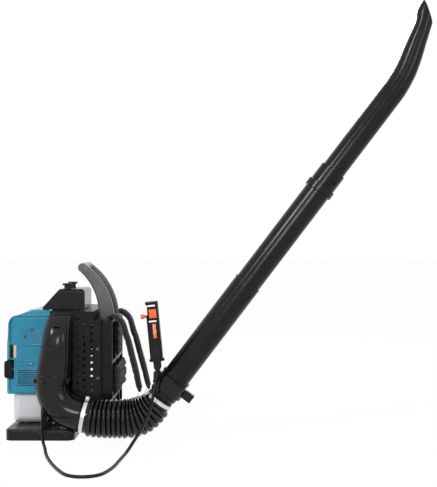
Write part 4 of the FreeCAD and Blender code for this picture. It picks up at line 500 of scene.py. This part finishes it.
onFloor = 0.0044
cableForm = {
    "thick": 0.0087, "pivot": (0.268534, -0.215, 0.207074), "belowFoot": (0.259, -0.243, 0.136),
    "footReach": (0.078, 0.036), "split": (0.1825, -0.5335, onFloor),
    "lower": ((-0.052, -0.168, 0.072), (-0.051, -0.196, 0.060), (-0.048, -0.224, 0.038),
        (-0.040, -0.255, 0.011), (-0.022, -0.318, onFloor), (-0.004, -0.402, onFloor),
        (0.023, -0.487, onFloor), (0.055, -0.566, onFloor), (0.084, -0.620, onFloor),
        (0.124, -0.633, onFloor), (0.161, -0.614, onFloor), (0.178, -0.562, onFloor)),
    "upper": ((0.187, -0.505, onFloor), (0.191, -0.446, onFloor), (0.203, -0.394, 0.012),
        (0.222, -0.350, 0.040), (0.243, -0.305, 0.072), (0.254, -0.268, 0.105)),
    "bodies": {"lower": ("machine", "hose"), "upper": ("hose", "pipe")},
}


def routeCurve(name, points, thick=0.0):
    data = bpy.data.curves.new(name, "CURVE")
    data.dimensions = "3D"
    data.resolution_u = 10
    spline = data.splines.new("NURBS")
    spline.points.add(len(points) - 1)
    for point, spot in zip(spline.points, points):
        point.co = (*spot, 1)
    spline.order_u = 3
    spline.use_endpoint_u = True
    data.bevel_depth = thick / 2
    data.bevel_resolution = 5
    data.use_fill_caps = thick > 0
    return addObject(name, data)


def meshOf(curve):
    bpy.context.view_layer.update()
    mesh = bpy.data.meshes.new_from_object(curve)
    bpy.data.objects.remove(curve)
    return mesh


def makeCables():
    form = cableForm
    pivot, split = Vector(form["pivot"]), Vector(form["split"])
    fall = (Vector(form["belowFoot"]) - pivot).normalized()
    routes = {"lower": [*form["lower"], split],
        "upper": [split, *form["upper"], *(pivot + fall * reach for reach in form["footReach"])]}
    for half, points in routes.items():
        name = "cable" + half.capitalize()
        line = [vertex.co.copy() for vertex in meshOf(routeCurve("routeLine", points)).vertices]
        mesh = meshOf(routeCurve(name + "Tube", points, form["thick"]))
        cable = addPiece(name, mesh, "cableRubber", None)
        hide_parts("throttle_cable_" + half)
        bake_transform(cable)


makeCables()
print("cables laid")


# the ribbed hose, in two lengths that meet at a valley between two ribs

hoseForm = dict(
    side=-0.185, start=(0.07354, 0.06485), cuff=0.022, drop=12, dip=0.26, level=0.048,
    tilt=52.8, rise=0.1107, endCuff=0.02, lead=0.002, ribs=15, splitRib=8, ribSteps=12,
    valley=0.0473, peak=0.0545, lastPeak=0.0445, lastCuff=0.0375, ribDepth=0.0075,
    taperFrom=0.72, crestPower=0.55, wall=0.0018, around=72,
    blends=dict(hoseLower=("machine", "hose", (0.085, -0.185, 0.062), (0.180, -0.185, 0.059)),
        hoseUpper=("hose", "pipe", (0.186, -0.185, 0.059), (0.262, -0.185, 0.100))),
)


def hoseRuns():
    # the lengths of the hose's middle line, and how far each turns upward
    form = hoseForm
    drop, tilt = math.radians(form["drop"]), math.radians(form["tilt"])
    return ((form["cuff"], 0), (drop * form["dip"], drop), (form["level"], 0), (tilt * form["rise"], tilt),
        (form["endCuff"], 0))


def hoseSpot(distance):
    form = hoseForm
    heading = -math.radians(form["drop"])
    cuff = form["cuff"]
    x, z = form["start"][0] - cuff * math.cos(heading), form["start"][1] - cuff * math.sin(heading)
    for length, turn in hoseRuns():
        step = min(distance, length)
        bend = turn * step / length
        chord = 2 * length / turn * math.sin(bend / 2) if bend else step
        x += chord * math.cos(heading + bend / 2)
        z += chord * math.sin(heading + bend / 2)
        heading += bend
        distance -= step
        if distance <= 0:
            break
    return Vector((x, form["side"], z)), math.degrees(heading)


def hoseRadius(distance, start, pitch):
    form = hoseForm
    place = (distance - start) / pitch
    if place < 0:
        return form["valley"]
    if place > form["ribs"]:
        return form["lastCuff"]
    far = max(0, place / form["ribs"] - form["taperFrom"]) / (1 - form["taperFrom"])
    high = form["peak"] + (form["lastPeak"] - form["peak"]) * far
    crest = math.sin(math.pi * (place % 1)) ** form["crestPower"]
    return high - form["ribDepth"] * (1 - crest)


def makeHose():
    form = hoseForm
    total = sum(length for length, turn in hoseRuns())
    start = form["cuff"] + form["lead"]
    pitch = (total - form["endCuff"] - form["lead"] - start) / form["ribs"]
    middle = start + form["splitRib"] * pitch
    steps, near = form["ribSteps"], 1e-6
    stations = [0, form["cuff"] * 0.5, form["cuff"]] \
        + [start + pitch * n / steps for n in range(form["ribs"] * steps + 1)] \
        + [total - form["endCuff"], total - form["endCuff"] * 0.5, total]
    lengths = {"hoseLower": [s for s in stations if s <= middle + near],
        "hoseUpper": [s for s in stations if s >= middle - near]}
    for name, run in lengths.items():
        bm = bmesh.new()
        moves = []
        for distance in run:
            spot, heading = hoseSpot(distance)
            radius = hoseRadius(distance, start, pitch)
            moves.append(acrossRun(spot, heading, radius, radius))
        pullRing(bm, unitRing(bm, form["around"]), moves)
        bmesh.ops.recalc_face_normals(bm, faces=bm.faces)
        first = bm.faces[:][0]
        if (first.calc_center_median() - hoseSpot(run[0])[0]).dot(first.normal) < 0:
            bmesh.ops.reverse_faces(bm, faces=bm.faces)
        piece = addPiece(name, bm, "hoseRubber", None, sharp=80)
        thicken(piece, form["wall"], -1)
        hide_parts("bellows_hose")
        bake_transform(piece)
    print("hose ribs", form["ribs"], "length", round(total, 4))


makeHose()
print("hose made")


# shoulder straps: padded, with a sewn binding, and a tape down the outer face

strapForm = dict(
    top=(0.117, 0.094, 0.336), bend=(0.152, 0.097, 0.325), half=0.008, wide=0.024,
    left=(0.219, 0.110, 0.098), right=(0.211, 0.110, 0.124), foot=(0.155, 0.110, 0.017),
    steps=60, around=64, padding=0.74, binding=0.84, quilts=5, quiltDepth=0.16,
    quilted=(0.1, 0.95), tapeWide=0.02, tapeThick=0.0012, tapeLift=1.02, buckle=0.034,
    webbingWide=0.025, webbingThick=0.0016, webbingSway=0.0016, tail=0.034,
)


def handed(spot, hand):
    # a place on the operator's left, or its mirror image
    return Vector((spot[0], spot[1] if hand == "left" else -spot[1], spot[2]))


def strapStops(hand):
    # places along the strap, each with its heading and its share of the full width
    form = strapForm
    top, bend, end = Vector(form["top"]), Vector(form["bend"]), Vector(form[hand])
    run = end - bend
    slope = math.degrees(math.atan2(run.z, run.x))
    stops = [(top, 0, 0.9), (top + Vector((0.015, 0, 0.0015)), -4, 1.0), (bend, slope / 2 - 4, 1.0),
        (bend + run * 0.25 + Vector((0.005, 0, 0.003)), slope + 5, 1.0),
        (bend + run * 0.6 + Vector((0.004, 0, 0.002)), slope, 1.0), (end, slope - 2, 0.9)]
    return [(handed(spot, hand), heading, share) for spot, heading, share in stops]


def alongStops(stops, share):
    # a smooth place between the stops, which leaves and meets each in its own heading
    lengths = [(b[0] - a[0]).length for a, b in zip(stops, stops[1:])]
    distance = share * sum(lengths)
    for number, length in enumerate(lengths):
        if distance <= length or number == len(lengths) - 1:
            break
        distance -= length
    (start, before, small), (end, after, big) = stops[number], stops[number + 1]
    t = min(1, distance / length)
    leave, meet = (Vector((math.cos(math.radians(h)), 0, math.sin(math.radians(h)))) * length
        for h in (before, after))
    spot = start * (2 * t ** 3 - 3 * t ** 2 + 1) + leave * (t ** 3 - 2 * t ** 2 + t) \
        + end * (3 * t ** 2 - 2 * t ** 3) + meet * (t ** 3 - t ** 2)
    smooth = t * t * (3 - 2 * t)
    return spot, before + (after - before) * smooth, small + (big - small) * smooth


def shapeStrapRing(verts):
    # crowned padding in the middle, a sewn groove, and a thin binding at each edge
    padding, binding = strapForm["padding"], strapForm["binding"]
    for vertex in verts:
        turn = math.atan2(vertex.co.x, vertex.co.y)
        across = math.cos(turn)
        out = abs(across)
        if out < padding:
            thick = 1 - 0.22 * (out / padding) ** 3
        elif out < binding:
            thick = 0.78 - 0.4 * math.sin((out - padding) / (binding - padding) * math.pi)
        else:
            thick = 0.5 * math.sqrt(max(0, 1 - ((out - binding) / (1 - binding)) ** 2))
        vertex.co = (thick * math.copysign(1, math.sin(turn)) if abs(math.sin(turn)) > 1e-6 else 0, across, 0)


def writeMap(bm, places):
    # the weave's own map, in metres across and along
    layer = bm.loops.layers.uv.new("weave")
    for face in bm.faces:
        for loop in face.loops:
            loop[layer].uv = places(loop.vert.co)


def makeStrap(hand):
    # drawn straight with a millimetre for each step, then bent along its stops
    form = strapForm
    stops = strapStops(hand)
    steps, pace = form["steps"], 0.001
    runs = [alongStops(stops, n / steps) for n in range(steps + 1)]
    bm = bmesh.new()
    ring = unitRing(bm, form["around"])
    shapeStrapRing(ring)
    flat = Matrix.Diagonal((form["half"], form["wide"], 1, 1))
    pullRing(bm, ring, [Matrix.Translation((0, 0, pace * n)) @ flat for n in range(steps + 1)])
    closeEnds(bm)
    scale = sum((b[0] - a[0]).length for a, b in zip(runs, runs[1:])) / (pace * steps)
    writeMap(bm, lambda spot: (spot.y, spot.z * scale))
    quiltLow, quiltHigh = form["quilted"]
    for vertex in bm.verts:
        number = min(steps, round(vertex.co.z / pace))
        spot, heading, share = runs[number]
        far = number / steps
        thick = share * min(1, 0.55 + 6 * far) * min(1, 0.5 + 8 * (1 - far))
        if quiltLow < far < quiltHigh:
            thick *= 1 - form["quiltDepth"] * max(0, math.cos(far * 2 * math.pi * form["quilts"])) ** 12
        local = Vector((vertex.co.x * thick, vertex.co.y * share, 0, 1))
        vertex.co = (acrossRun(spot, heading) @ local).to_3d()
    strap = addPiece("strapPadded_" + hand, bm, "strapCloth", sharp=80)
    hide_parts("shoulder_strap_" + hand)
    makeTape(hand, runs)
    makeWebbing(hand)


def ribbon(name, places, wide, thick):
    # a flat band whose middle line goes through the places, each a spot and a heading
    bm = bmesh.new()
    made = bmesh.ops.create_grid(bm, x_segments=6, y_segments=len(places) - 1, size=0.5)["verts"]
    for vertex in made:
        vertex.co = (0, vertex.co.x * wide, (vertex.co.y + 0.5) * (len(places) - 1))
    lengths = [0]
    for a, b in zip(places, places[1:]):
        lengths.append(lengths[-1] + (b[0] - a[0]).length)
    writeMap(bm, lambda spot: (spot.y, lengths[min(len(lengths) - 1, round(spot.z))]))
    for vertex in bm.verts:
        spot, heading = places[min(len(places) - 1, round(vertex.co.z))]
        vertex.co = (acrossRun(spot, heading) @ Vector((0, vertex.co.y, 0, 1))).to_3d()
    piece = addPiece(name, bm, "webbingCloth", sharp=80)
    thicken(piece, thick)
    return piece


def makeTape(hand, runs):
    form = strapForm
    places = []
    for spot, heading, share in runs[6:-2]:
        up = Vector((-math.sin(math.radians(heading)), 0, math.cos(math.radians(heading))))
        places.append((spot + up * form["half"] * form["tapeLift"] * share, heading))
    ribbon("strapTape_" + hand, places, form["tapeWide"], form["tapeThick"])


def makeWebbing(hand):
    form = strapForm
    high, foot = handed(form[hand], hand), handed(form["foot"], hand)
    fall = (foot - high).normalized()
    heading = math.degrees(math.atan2(fall.z, fall.x))
    length = (foot - high).length
    out = Vector((-fall.z, 0, fall.x))
    places = []
    for n in range(25):
        far = form["buckle"] - 0.005 + (length - form["buckle"] + 0.004) * n / 24
        sway = math.sin(n / 24 * math.pi) * form["webbingSway"]
        places.append((high + fall * far + out * sway, heading))
    band = ribbon("webbingLower_" + hand, places, form["webbingWide"], form["webbingThick"])
    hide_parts("strap_webbing")
    # the free tail folds back under its buckle
    tail = []
    for n in range(16):
        far = form["buckle"] + 0.001 + form["tail"] * n / 15
        tail.append((high + fall * far - out * (0.0034 + 0.0025 * (n / 15) ** 2), heading))
    ribbon("webbingTail_" + hand, tail, form["webbingWide"], form["webbingThick"])
    makeBuckle(hand, acrossRun(high + fall * (form["buckle"] - buckleForm["back"]), heading))


buckleForm = dict(
    columns=(-0.018, -0.0155, -0.0130, 0.0, 0.0130, 0.0155, 0.018), slotHalf=0.0131,
    rows=(0.0, 0.0015, 0.004, 0.0062, 0.0085, 0.0105, 0.0125, 0.0148, 0.0170, 0.0195, 0.0215),
    slots=((0.004, 0.0085), (0.0125, 0.017)), thick=0.0032, rounding=0.0012, back=0.0225,
)


def makeBuckle(hand, place):
    # ladder buckle: a plate of bars around two slots
    form = buckleForm
    across, along = len(form["columns"]) - 1, len(form["rows"]) - 1
    bm = bmesh.new()
    for vertex in bmesh.ops.create_grid(bm, x_segments=across, y_segments=along, size=0.5)["verts"]:
        column, row = round((vertex.co.x + 0.5) * across), round((vertex.co.y + 0.5) * along)
        vertex.co = (0, form["columns"][column], form["rows"][row])
    holes = []
    for face in bm.faces:
        spot = face.calc_center_median()
        if abs(spot.y) < form["slotHalf"] and any(low < spot.z < high for low, high in form["slots"]):
            holes.append(face)
    bmesh.ops.delete(bm, geom=holes, context="FACES")
    bmesh.ops.transform(bm, matrix=place, verts=bm.verts)
    bmesh.ops.recalc_face_normals(bm, faces=bm.faces)
    buckle = addPiece("strapBuckle_" + hand, bm, "clampSteel", sharp=60)
    thicken(buckle, form["thick"])
    rounding = buckle.modifiers.new("rounding", "BEVEL")
    rounding.width = form["rounding"]
    rounding.segments = 3


for hand in ("left", "right"):
    makeStrap(hand)
print("straps made")


# back pads: cloth blown up from a thin shape, then sewn

padForms = dict(
    padUpper=dict(side=0.050, low=0.214, high=0.322, depth=0.018, channels=(0.25, 0.5, 0.75)),
    padLumbar=dict(side=0.118, low=0.108, high=0.204, depth=0.020, channels=(0.33, 0.67)),
)
padFacts = dict(back=0.1352, inset=0.006, voxel=0.005, pressure=4, frames=20, farthest=0.007,
    seam=0.035, seamDepth=0.42, skin=0.004)


def blowUp(pad):
    # lets a pressure from inside push the cloth out, and keeps each point near its start
    start = [vertex.co.copy() for vertex in pad.data.vertices]
    cloth = pad.modifiers.new("cloth", "CLOTH")
    cloth.settings.use_pressure = True
    cloth.settings.uniform_pressure_force = padFacts["pressure"]
    cloth.settings.effector_weights.gravity = 0
    cloth.point_cache.frame_start, cloth.point_cache.frame_end = 1, padFacts["frames"]
    for number in range(1, padFacts["frames"] + 1):
        bpy.context.scene.frame_set(number)
    blown = pad.evaluated_get(bpy.context.evaluated_depsgraph_get())
    moved = [vertex.co.copy() for vertex in blown.data.vertices]
    pad.modifiers.clear()
    for vertex, before, after in zip(pad.data.vertices, start, moved):
        step = after - before
        vertex.co = before + step * min(1, padFacts["farthest"] / max(step.length, 1e-6))
    bpy.context.scene.frame_set(1)


def makePad(name, form):
    back, inset = padFacts["back"], padFacts["inset"]
    bm = bmesh.new()
    addBlock(bm, (back, -form["side"] + inset, form["low"] + inset),
        (back + form["depth"] * 0.6, form["side"] - inset, form["high"] - inset), 0.005, 3)
    bmesh.ops.recalc_face_normals(bm, faces=bm.faces)
    pad = addPiece(name, bm, "padCloth", None, sharp=180)
    remesh = pad.modifiers.new("remesh", "REMESH")
    remesh.mode = "VOXEL"
    remesh.voxel_size = padFacts["voxel"]
    bpy.context.view_layer.update()
    settled = bpy.data.meshes.new_from_object(pad.evaluated_get(bpy.context.evaluated_depsgraph_get()))
    pad.modifiers.clear()
    pad.data = settled
    blowUp(pad)
    middle = (form["low"] + form["high"]) / 2
    for vertex in pad.data.vertices:
        spot = vertex.co
        high = (spot.z - form["low"]) / (form["high"] - form["low"])
        crown = max(0, 1 - (spot.y / form["side"]) ** 4) \
            * max(0, 1 - ((spot.z - middle) / (form["high"] - middle)) ** 4)
        sewn = max(math.exp(-((high - line) / padFacts["seam"]) ** 2) for line in form["channels"])
        if spot.x > back + padFacts["skin"]:
            spot.x = back + (spot.x - back) * (0.75 + 0.25 * crown) * (1 - padFacts["seamDepth"] * sewn)
        spot.x = min(max(spot.x, back), back + form["depth"])
        spot.y = min(max(spot.y, -form["side"]), form["side"])
        spot.z = min(max(spot.z, form["low"]), form["high"])
    pad.data.shade_smooth()
    pad.data.materials.clear()
    pad.data.materials.append(finishes["padCloth"])
    finer = pad.modifiers.new("finer", "SUBSURF")
    finer.levels = finer.render_levels = 1
    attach(pad, "machine")
    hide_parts("back_pads")


for name, form in padForms.items():
    makePad(name, form)
print("pads made")


# starter rope, laid up from strands along the part's length

ropeForm = dict(strands=3, steps=40, around=10, lay=0.012, off=0.48, strand=0.52)


def makeRope():
    form = ropeForm
    low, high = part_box("starter_rope")
    middle = (Vector(low) + Vector(high)) / 2
    radius = min(high[1] - low[1], high[2] - low[2]) / 2
    long, off, thick = high[0] - low[0], radius * form["off"], radius * form["strand"]
    bm = bmesh.new()
    for strand in range(form["strands"]):
        moves = []
        for n in range(form["steps"] + 1):
            far = long * n / form["steps"]
            turn = 2 * math.pi * (far / form["lay"] + strand / form["strands"])
            spot = Vector((low[0] + far, middle.y + math.cos(turn) * off, middle.z + math.sin(turn) * off))
            moves.append(acrossRun(spot, 0, thick, thick))
        pullRing(bm, unitRing(bm, form["around"]), moves)
    closeEnds(bm)
    rope = addPiece("starterCordTwist", bm, "ropeNylon", None, sharp=80)
    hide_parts("starter_rope")
    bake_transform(rope)


makeRope()
print("rope made")


# details of the engine cover: louvres over a dark plate that is painted shade between them, ledges, a dark
# block that is painted shade in a side slot, the slot's strip, and the clip

coverForm = dict(
    side=0.120, sunk=0.001, louvres=8, rear=-0.136, front=-0.080, low=0.140, high=0.187,
    ledges=[
        (-0.131, -0.091, 0.199, 0.2045, 0.0035, 0.0012), (-0.150, -0.062, 0.2545, 0.2585, 0.0028, 0.0012)],
    stair=dict(steps=6, rear=-0.140, shift=0.002, front=-0.062, low=0.2645, pitch=0.0062,
        high=0.0022),
    # the side slot is a dark block, painted shade where the cover opens; the strip beside it is beige plastic
    sides=dict(coverSlotShade=("gripPlastic", (-0.1585, -0.1212, 0.218), (-0.1475, -0.1185, 0.257), 0.0008),
        coverSideStrip=("beigePlastic", (-0.1472, -0.1216, 0.219), (-0.1385, -0.1185, 0.256), 0.0012)),
    clip=(-0.157, -0.050),
    clipBlocks=(((-0.008, -0.013, -0.0015), (0.009, 0.013, 0.0052), 0.002, 3),
        ((-0.0125, -0.009, 0.0005), (-0.006, 0.009, 0.0040), 0.0012, 2)),
)


def coverBands():
    # each band's rear, front, low and high end, how proud it stands and how round its edges are
    form, stair = coverForm, coverForm["stair"]
    rear, front, low, high = form["rear"], form["front"], form["low"], form["high"]
    pitch = (high - low) / form["louvres"]
    blades = [(rear - 0.002, front + 0.002, low + pitch * (n + 0.42), low + pitch * (n + 1), 0.0022, 0.0007)
        for n in range(form["louvres"])]
    blades += [(x, x + 0.004, low - 0.002, high + 0.001, 0.002, 0.0006) for x in (rear - 0.004, front)]
    shadow = [(rear, front, low, high, 0.0004, 0.0006)]
    stairs = []
    for n in range(stair["steps"]):
        z = stair["low"] + stair["pitch"] * n
        start = stair["rear"] + stair["shift"] * n
        stairs.append((start, stair["front"], z, z + stair["high"], 0.0014, 0.0005))
    return {"louvreShadow": ("gripPlastic", shadow),
        "louvreBlades": ("coverPlastic", blades), "coverLedges": ("coverPlastic", form["ledges"] + stairs)}


def makeCoverDetails():
    form = coverForm
    for side, hand in ((-1, "Right"), (1, "Left")):
        for name, (finish, bands) in coverBands().items():
            bm = bmesh.new()
            for rear, front, low, high, proud, edge in bands:
                addBlock(bm, (rear, side * (form["side"] - form["sunk"]), low),
                    (front, side * (form["side"] + proud), high), edge)
            addPiece(name + hand, bm, finish)
    for name, (finish, *block) in form["sides"].items():
        bm = bmesh.new()
        addBlock(bm, *block)
        addPiece(name, bm, finish)
    # the clip sits on the crown, wherever that is over its middle
    above = Vector((*form["clip"], 1))
    found, top, facing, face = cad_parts["engine_cover"].ray_cast(above, Vector((0, 0, -1)))
    clip = bmesh.new()
    for block in form["clipBlocks"]:
        addBlock(clip, *block)
    place = Matrix.Translation(top) @ Matrix.Rotation(math.atan2(facing.x, facing.z), 4, "Y")
    bmesh.ops.transform(clip, matrix=place, verts=clip.verts)
    addPiece("coverClip", clip, "gripPlastic")


makeCoverDetails()


def drawRod(bm, spots, radius, around=12):
    # a thin bead through spots in an upright plane along X
    moves = []
    for number, spot in enumerate(spots):
        before, after = spots[max(0, number - 1)], spots[min(len(spots) - 1, number + 1)]
        heading = math.degrees(math.atan2(after[2] - before[2], after[0] - before[0]))
        moves.append(acrossRun(Vector(spot), heading, radius, radius))
    pullRing(bm, unitRing(bm, around), moves)
    closeEnds(bm)


def cornerSpots(points, side, radius, steps=8):
    # the points' line with each inner corner rounded
    spots = [Vector((points[0][0], side, points[0][1]))]
    for before, corner, after in zip(points, points[1:], points[2:]):
        a, b, c = (Vector((p[0], side, p[1])) for p in (before, corner, after))
        start, end = b + (a - b).normalized() * radius, b + (c - b).normalized() * radius
        for n in range(steps + 1):
            t = n / steps
            spots.append(start * (1 - t) ** 2 + b * 2 * t * (1 - t) + end * t ** 2)
    spots.append(Vector((points[-1][0], side, points[-1][1])))
    return spots


# the beads along the cover's edges: each a line, how round its corners are and how thick it is
rimForm = dict(side=0.1196, beads=(
    (((-0.1605, 0.262), (-0.1605, 0.3385), (-0.052, 0.3385)), 0.03, 0.0022),
    (((-0.1605, 0.160), (-0.1605, 0.126), (-0.130, 0.1205), (-0.052, 0.1205)), 0.008, 0.0014)))


def makeCoverRims():
    for side, name in ((-rimForm["side"], "Right"), (rimForm["side"], "Left")):
        bm = bmesh.new()
        for line, corner, bead in rimForm["beads"]:
            drawRod(bm, cornerSpots(line, side, corner), bead)
        addPiece("coverRim" + name, bm, "coverPlastic")


makeCoverRims()
print("cover details made")


# outlet duct: its ribs and pegs, and the collar over the elbow with its lugs

ductForm = dict(
    ribs=((-0.020, -0.001, 0.316, -0.2165), (-0.030, -0.007, 0.253, -0.2318),
        (-0.028, 0.012, 0.197, -0.2330), (-0.052, 0.000, 0.1785, -0.2345)),
    ribDeep=0.016, ribHigh=0.0036, ribEdge=0.0017,
    pegs=((-0.010, -0.2075, 0.306), (-0.018, -0.2275, 0.243)), pegRadius=0.0022, pegLong=0.008,
    collar=(-0.0262, -0.185, 0.157, 0.1715, 0.0466), around=64,
    rounding=((0.0, 0.965), (0.001, 0.995), (0.0025, 1.0)),
    lugs=8, lugOut=0.002, lugHalf=(0.004, 0.004, 0.006), lugEdge=0.0025,
)


def makeDuctDetails():
    form = ductForm
    bm = bmesh.new()
    for x0, x1, z, y in form["ribs"]:
        addBlock(bm, (x0, y, z), (x1, y + form["ribDeep"], z + form["ribHigh"]), form["ribEdge"], 4)
    for spot in form["pegs"]:
        addPeg(bm, spot, form["pegRadius"], form["pegLong"])
    addPiece("ductRibs", bm, "ductPlastic")
    x, y, low, high, radius = form["collar"]
    bm = bmesh.new()
    stops = [(low + step, share) for step, share in form["rounding"]] \
        + [(high - step, share) for step, share in reversed(form["rounding"])]
    raiseRing(bm, unitRing(bm, form["around"]), x, y, radius, stops)
    bmesh.ops.recalc_face_normals(bm, faces=bm.faces)
    addPiece("ductCollar", bm, "ductPlastic")
    bm = bmesh.new()
    half = Vector(form["lugHalf"])
    for n in range(form["lugs"]):
        turn = 2 * math.pi * (n + 0.5) / form["lugs"]
        out = radius + form["lugOut"]
        spot = Vector((x + math.cos(turn) * out, y + math.sin(turn) * out, (low + high) / 2))
        addBlock(bm, spot - half, spot + half, form["lugEdge"], 3)
    addPiece("ductLugs", bm, "ductPlastic")


makeDuctDetails()
print("duct details made")


# control handle: white bezels round the switch, and ribs on its front and its outer side

gripForm = dict(
    foot=(0.267, -0.215, 0.223), lean=-5.5,
    bezels=(((-0.0105, -0.0212, 0.1504), (0.0105, -0.019, 0.1549), 0.0005),
        ((-0.0105, -0.0212, 0.1081), (0.0105, -0.019, 0.1126), 0.0005),
        ((-0.0178, -0.0208, 0.128), (-0.0125, -0.014, 0.156), 0.0008)),
    ribs=((5, 0.0065, (0.016, -0.011, 0.028), (0.0179, 0.011, 0.031), 0.0008),
        (4, 0.0062, (-0.012, -0.0209, 0.012), (0.012, -0.019, 0.0146), 0.0007)),
)


def makeGripDetails():
    # a row of ribs has a count, a pitch and its lowest rib
    form = gripForm
    place = Matrix.Translation(form["foot"]) @ Matrix.Rotation(math.radians(form["lean"]), 4, "Y")
    bezels, ribs = bmesh.new(), bmesh.new()
    for block in form["bezels"]:
        addBlock(bezels, *block)
    for count, pitch, low, high, edge in form["ribs"]:
        for n in range(count):
            up = Vector((0, 0, pitch * n))
            addBlock(ribs, Vector(low) + up, Vector(high) + up, edge)
    for name, bm, finish in (("gripBezels", bezels, "whitePlastic"), ("gripRibs", ribs, "gripPlastic")):
        bmesh.ops.transform(bm, matrix=place, verts=bm.verts)
        addPiece(name, bm, finish, "handle")


makeGripDetails()
print("handle details made")


# air cleaner knobs with finger lobes, on slimmer necks

knobForm = dict(
    radius=0.0145, past=0.0015, lobes=6, depth=0.07, around=60,
    steps=((0.0, 0.66), (0.008, 0.62), (0.0095, 0.9), (0.0105, 1.0), (0.0142, 1.0), (0.0152, 0.92)),
)


def makeKnobs():
    form = knobForm
    for name in ("left", "right"):
        low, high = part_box("filter_knob_" + name)
        centre = (Vector(low) + Vector(high)) / 2
        bm = bmesh.new()
        ring = unitRing(bm, form["around"])
        for vertex in ring:
            turn = math.atan2(vertex.co.y, vertex.co.x)
            vertex.co *= 1 - form["depth"] * (0.5 - 0.5 * math.cos(form["lobes"] * turn))
        scale = (high[2] - low[2]) / form["steps"][-1][0]
        radius = min(form["radius"], (high[0] - low[0]) / 2 + form["past"])
        stops = [(low[2] + z * scale, share) for z, share in form["steps"]]
        raiseRing(bm, ring, centre.x, centre.y, radius, stops)
        closeEnds(bm)
        knob = addPiece("cleanerKnob_" + name, bm, "gripPlastic", "knob_" + name, sharp=50)
        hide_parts("filter_knob_" + name)


makeKnobs()
print("knobs made")


# trim along the base plate's two sides: a rail with short bars under it

baseForm = dict(
    sunk=0.001, edge=0.0006, rear=0.03, front=0.030, rail=(0.0215, 0.0245, 0.0018), bars=6, barRear=0.045,
    barPitch=0.024, barLong=0.004, bar=(0.006, 0.0205, 0.0012))


def makeBaseTrim():
    # a rail's or a bar's last three numbers are its foot, its top and how proud it stands
    form = baseForm
    low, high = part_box("base_plate")
    runs = [(low[0] + form["rear"], form["front"], *form["rail"])]
    for n in range(form["bars"]):
        x = low[0] + form["barRear"] + form["barPitch"] * n
        runs.append((x, x + form["barLong"], *form["bar"]))
    bm = bmesh.new()
    for side in (-1, 1):
        y = side * (high[1] - form["sunk"])
        for rear, front, foot, top, proud in runs:
            addBlock(bm, (rear, y, foot), (front, y + side * proud, top), form["edge"])
    addPiece("baseTrim", bm, "basePlastic")


makeBaseTrim()


# a ribbed skirt under the intake guard

skirtForm = dict(rear=0.028, front=0.1065, side=0.146, low=0.0965, high=0.1112, edge=0.004,
    ribs=8, ribFrom=0.008, ribHalf=0.001, ribSunk=0.002, ribProud=0.0035)


def makeGuardSkirt():
    form = skirtForm
    bm = bmesh.new()
    addBlock(bm, (form["rear"], -form["side"], form["low"]), (form["front"], form["side"], form["high"]),
        form["edge"], 3)
    first, last = form["rear"] + form["ribFrom"], form["front"] - form["ribFrom"]
    for n in range(form["ribs"]):
        x = first + n * (last - first) / (form["ribs"] - 1)
        for side in (-1, 1):
            addBlock(bm, (x - form["ribHalf"], side * (form["side"] - form["ribSunk"]), form["low"] + 0.002),
                (x + form["ribHalf"], side * (form["side"] + form["ribProud"]), form["high"] - 0.001), 0.0005)
    addPiece("guardSkirt", bm, "guardPlastic")


makeGuardSkirt()
print("frame details made")


# the floor, the light and the room

roomLook = dict(floor=(0.9, 0.9, 0.9), floorHalf=20, floorDrop=0.0004, world=0.62, whiteShare=0.955,
    lamps=dict(key=((-1.2, -2.0, 2.3), (0.2, 0, 0.3), 0.6, 34),
        front=((0.1, -3.3, 1.3), (0.2, 0, 0.3), 0.8, 26),
        fill=((2.4, -2.0, 1.2), (0.3, 0, 0.4), 1.0, 10),
        back=((0.8, 2.6, 2.2), (0.2, 0, 0.5), 1.0, 26)))


def seenStraight(tree):
    # 1 where the camera sees a surface itself, in a reflection or through something clear
    rays = addNode(tree, "LightPath").outputs
    first = reckon(tree, "MAXIMUM", rays["Is Camera Ray"], rays["Is Glossy Ray"])
    return reckon(tree, "MAXIMUM", first, rays["Is Transmission Ray"])


def makeRoom():
    bm = bmesh.new()
    bmesh.ops.create_grid(bm, x_segments=4, y_segments=4, size=roomLook["floorHalf"])
    mesh = bpy.data.meshes.new("floor")
    bm.to_mesh(mesh)
    bm.free()
    floor = addObject("floor", mesh)
    floor.location.z = -roomLook["floorDrop"]
    paper = bpy.data.materials.new("floorPaper")
    paper.use_nodes = True
    tree = paper.node_tree
    tree.nodes.clear()
    matt = addNode(tree, "BsdfDiffuse", {"Color": (*roomLook["floor"], 1)})
    white = addNode(tree, "Emission", {"Color": (1, 1, 1, 1), "Strength": 1.0})
    share = reckon(tree, "MULTIPLY", seenStraight(tree), roomLook["whiteShare"])
    both = addNode(tree, "MixShader", {0: share, 1: matt.outputs[0], 2: white.outputs[0]})
    addNode(tree, "OutputMaterial", {0: both.outputs[0]})
    mesh.materials.append(paper)
    world = bpy.data.worlds.new("room")
    bpy.context.scene.world = world
    world.use_nodes = True
    tree = world.node_tree
    tree.nodes.clear()
    soft = addNode(tree, "Background", {"Color": (1, 1, 1, 1), "Strength": roomLook["world"]})
    plain = addNode(tree, "Background", {"Color": (1, 1, 1, 1), "Strength": 1.0})
    both = addNode(tree, "MixShader", {0: seenStraight(tree), 1: soft.outputs[0],
            2: plain.outputs[0]})
    addNode(tree, "OutputWorld", {0: both.outputs[0]})
    for name, (place, aim, size, power) in roomLook["lamps"].items():
        data = bpy.data.lights.new(name, "AREA")
        data.size = size
        data.energy = power
        aimAt(addObject(name, data), place, aim)
    bpy.context.scene.view_settings.view_transform = "Standard"


makeRoom()
print("room made")
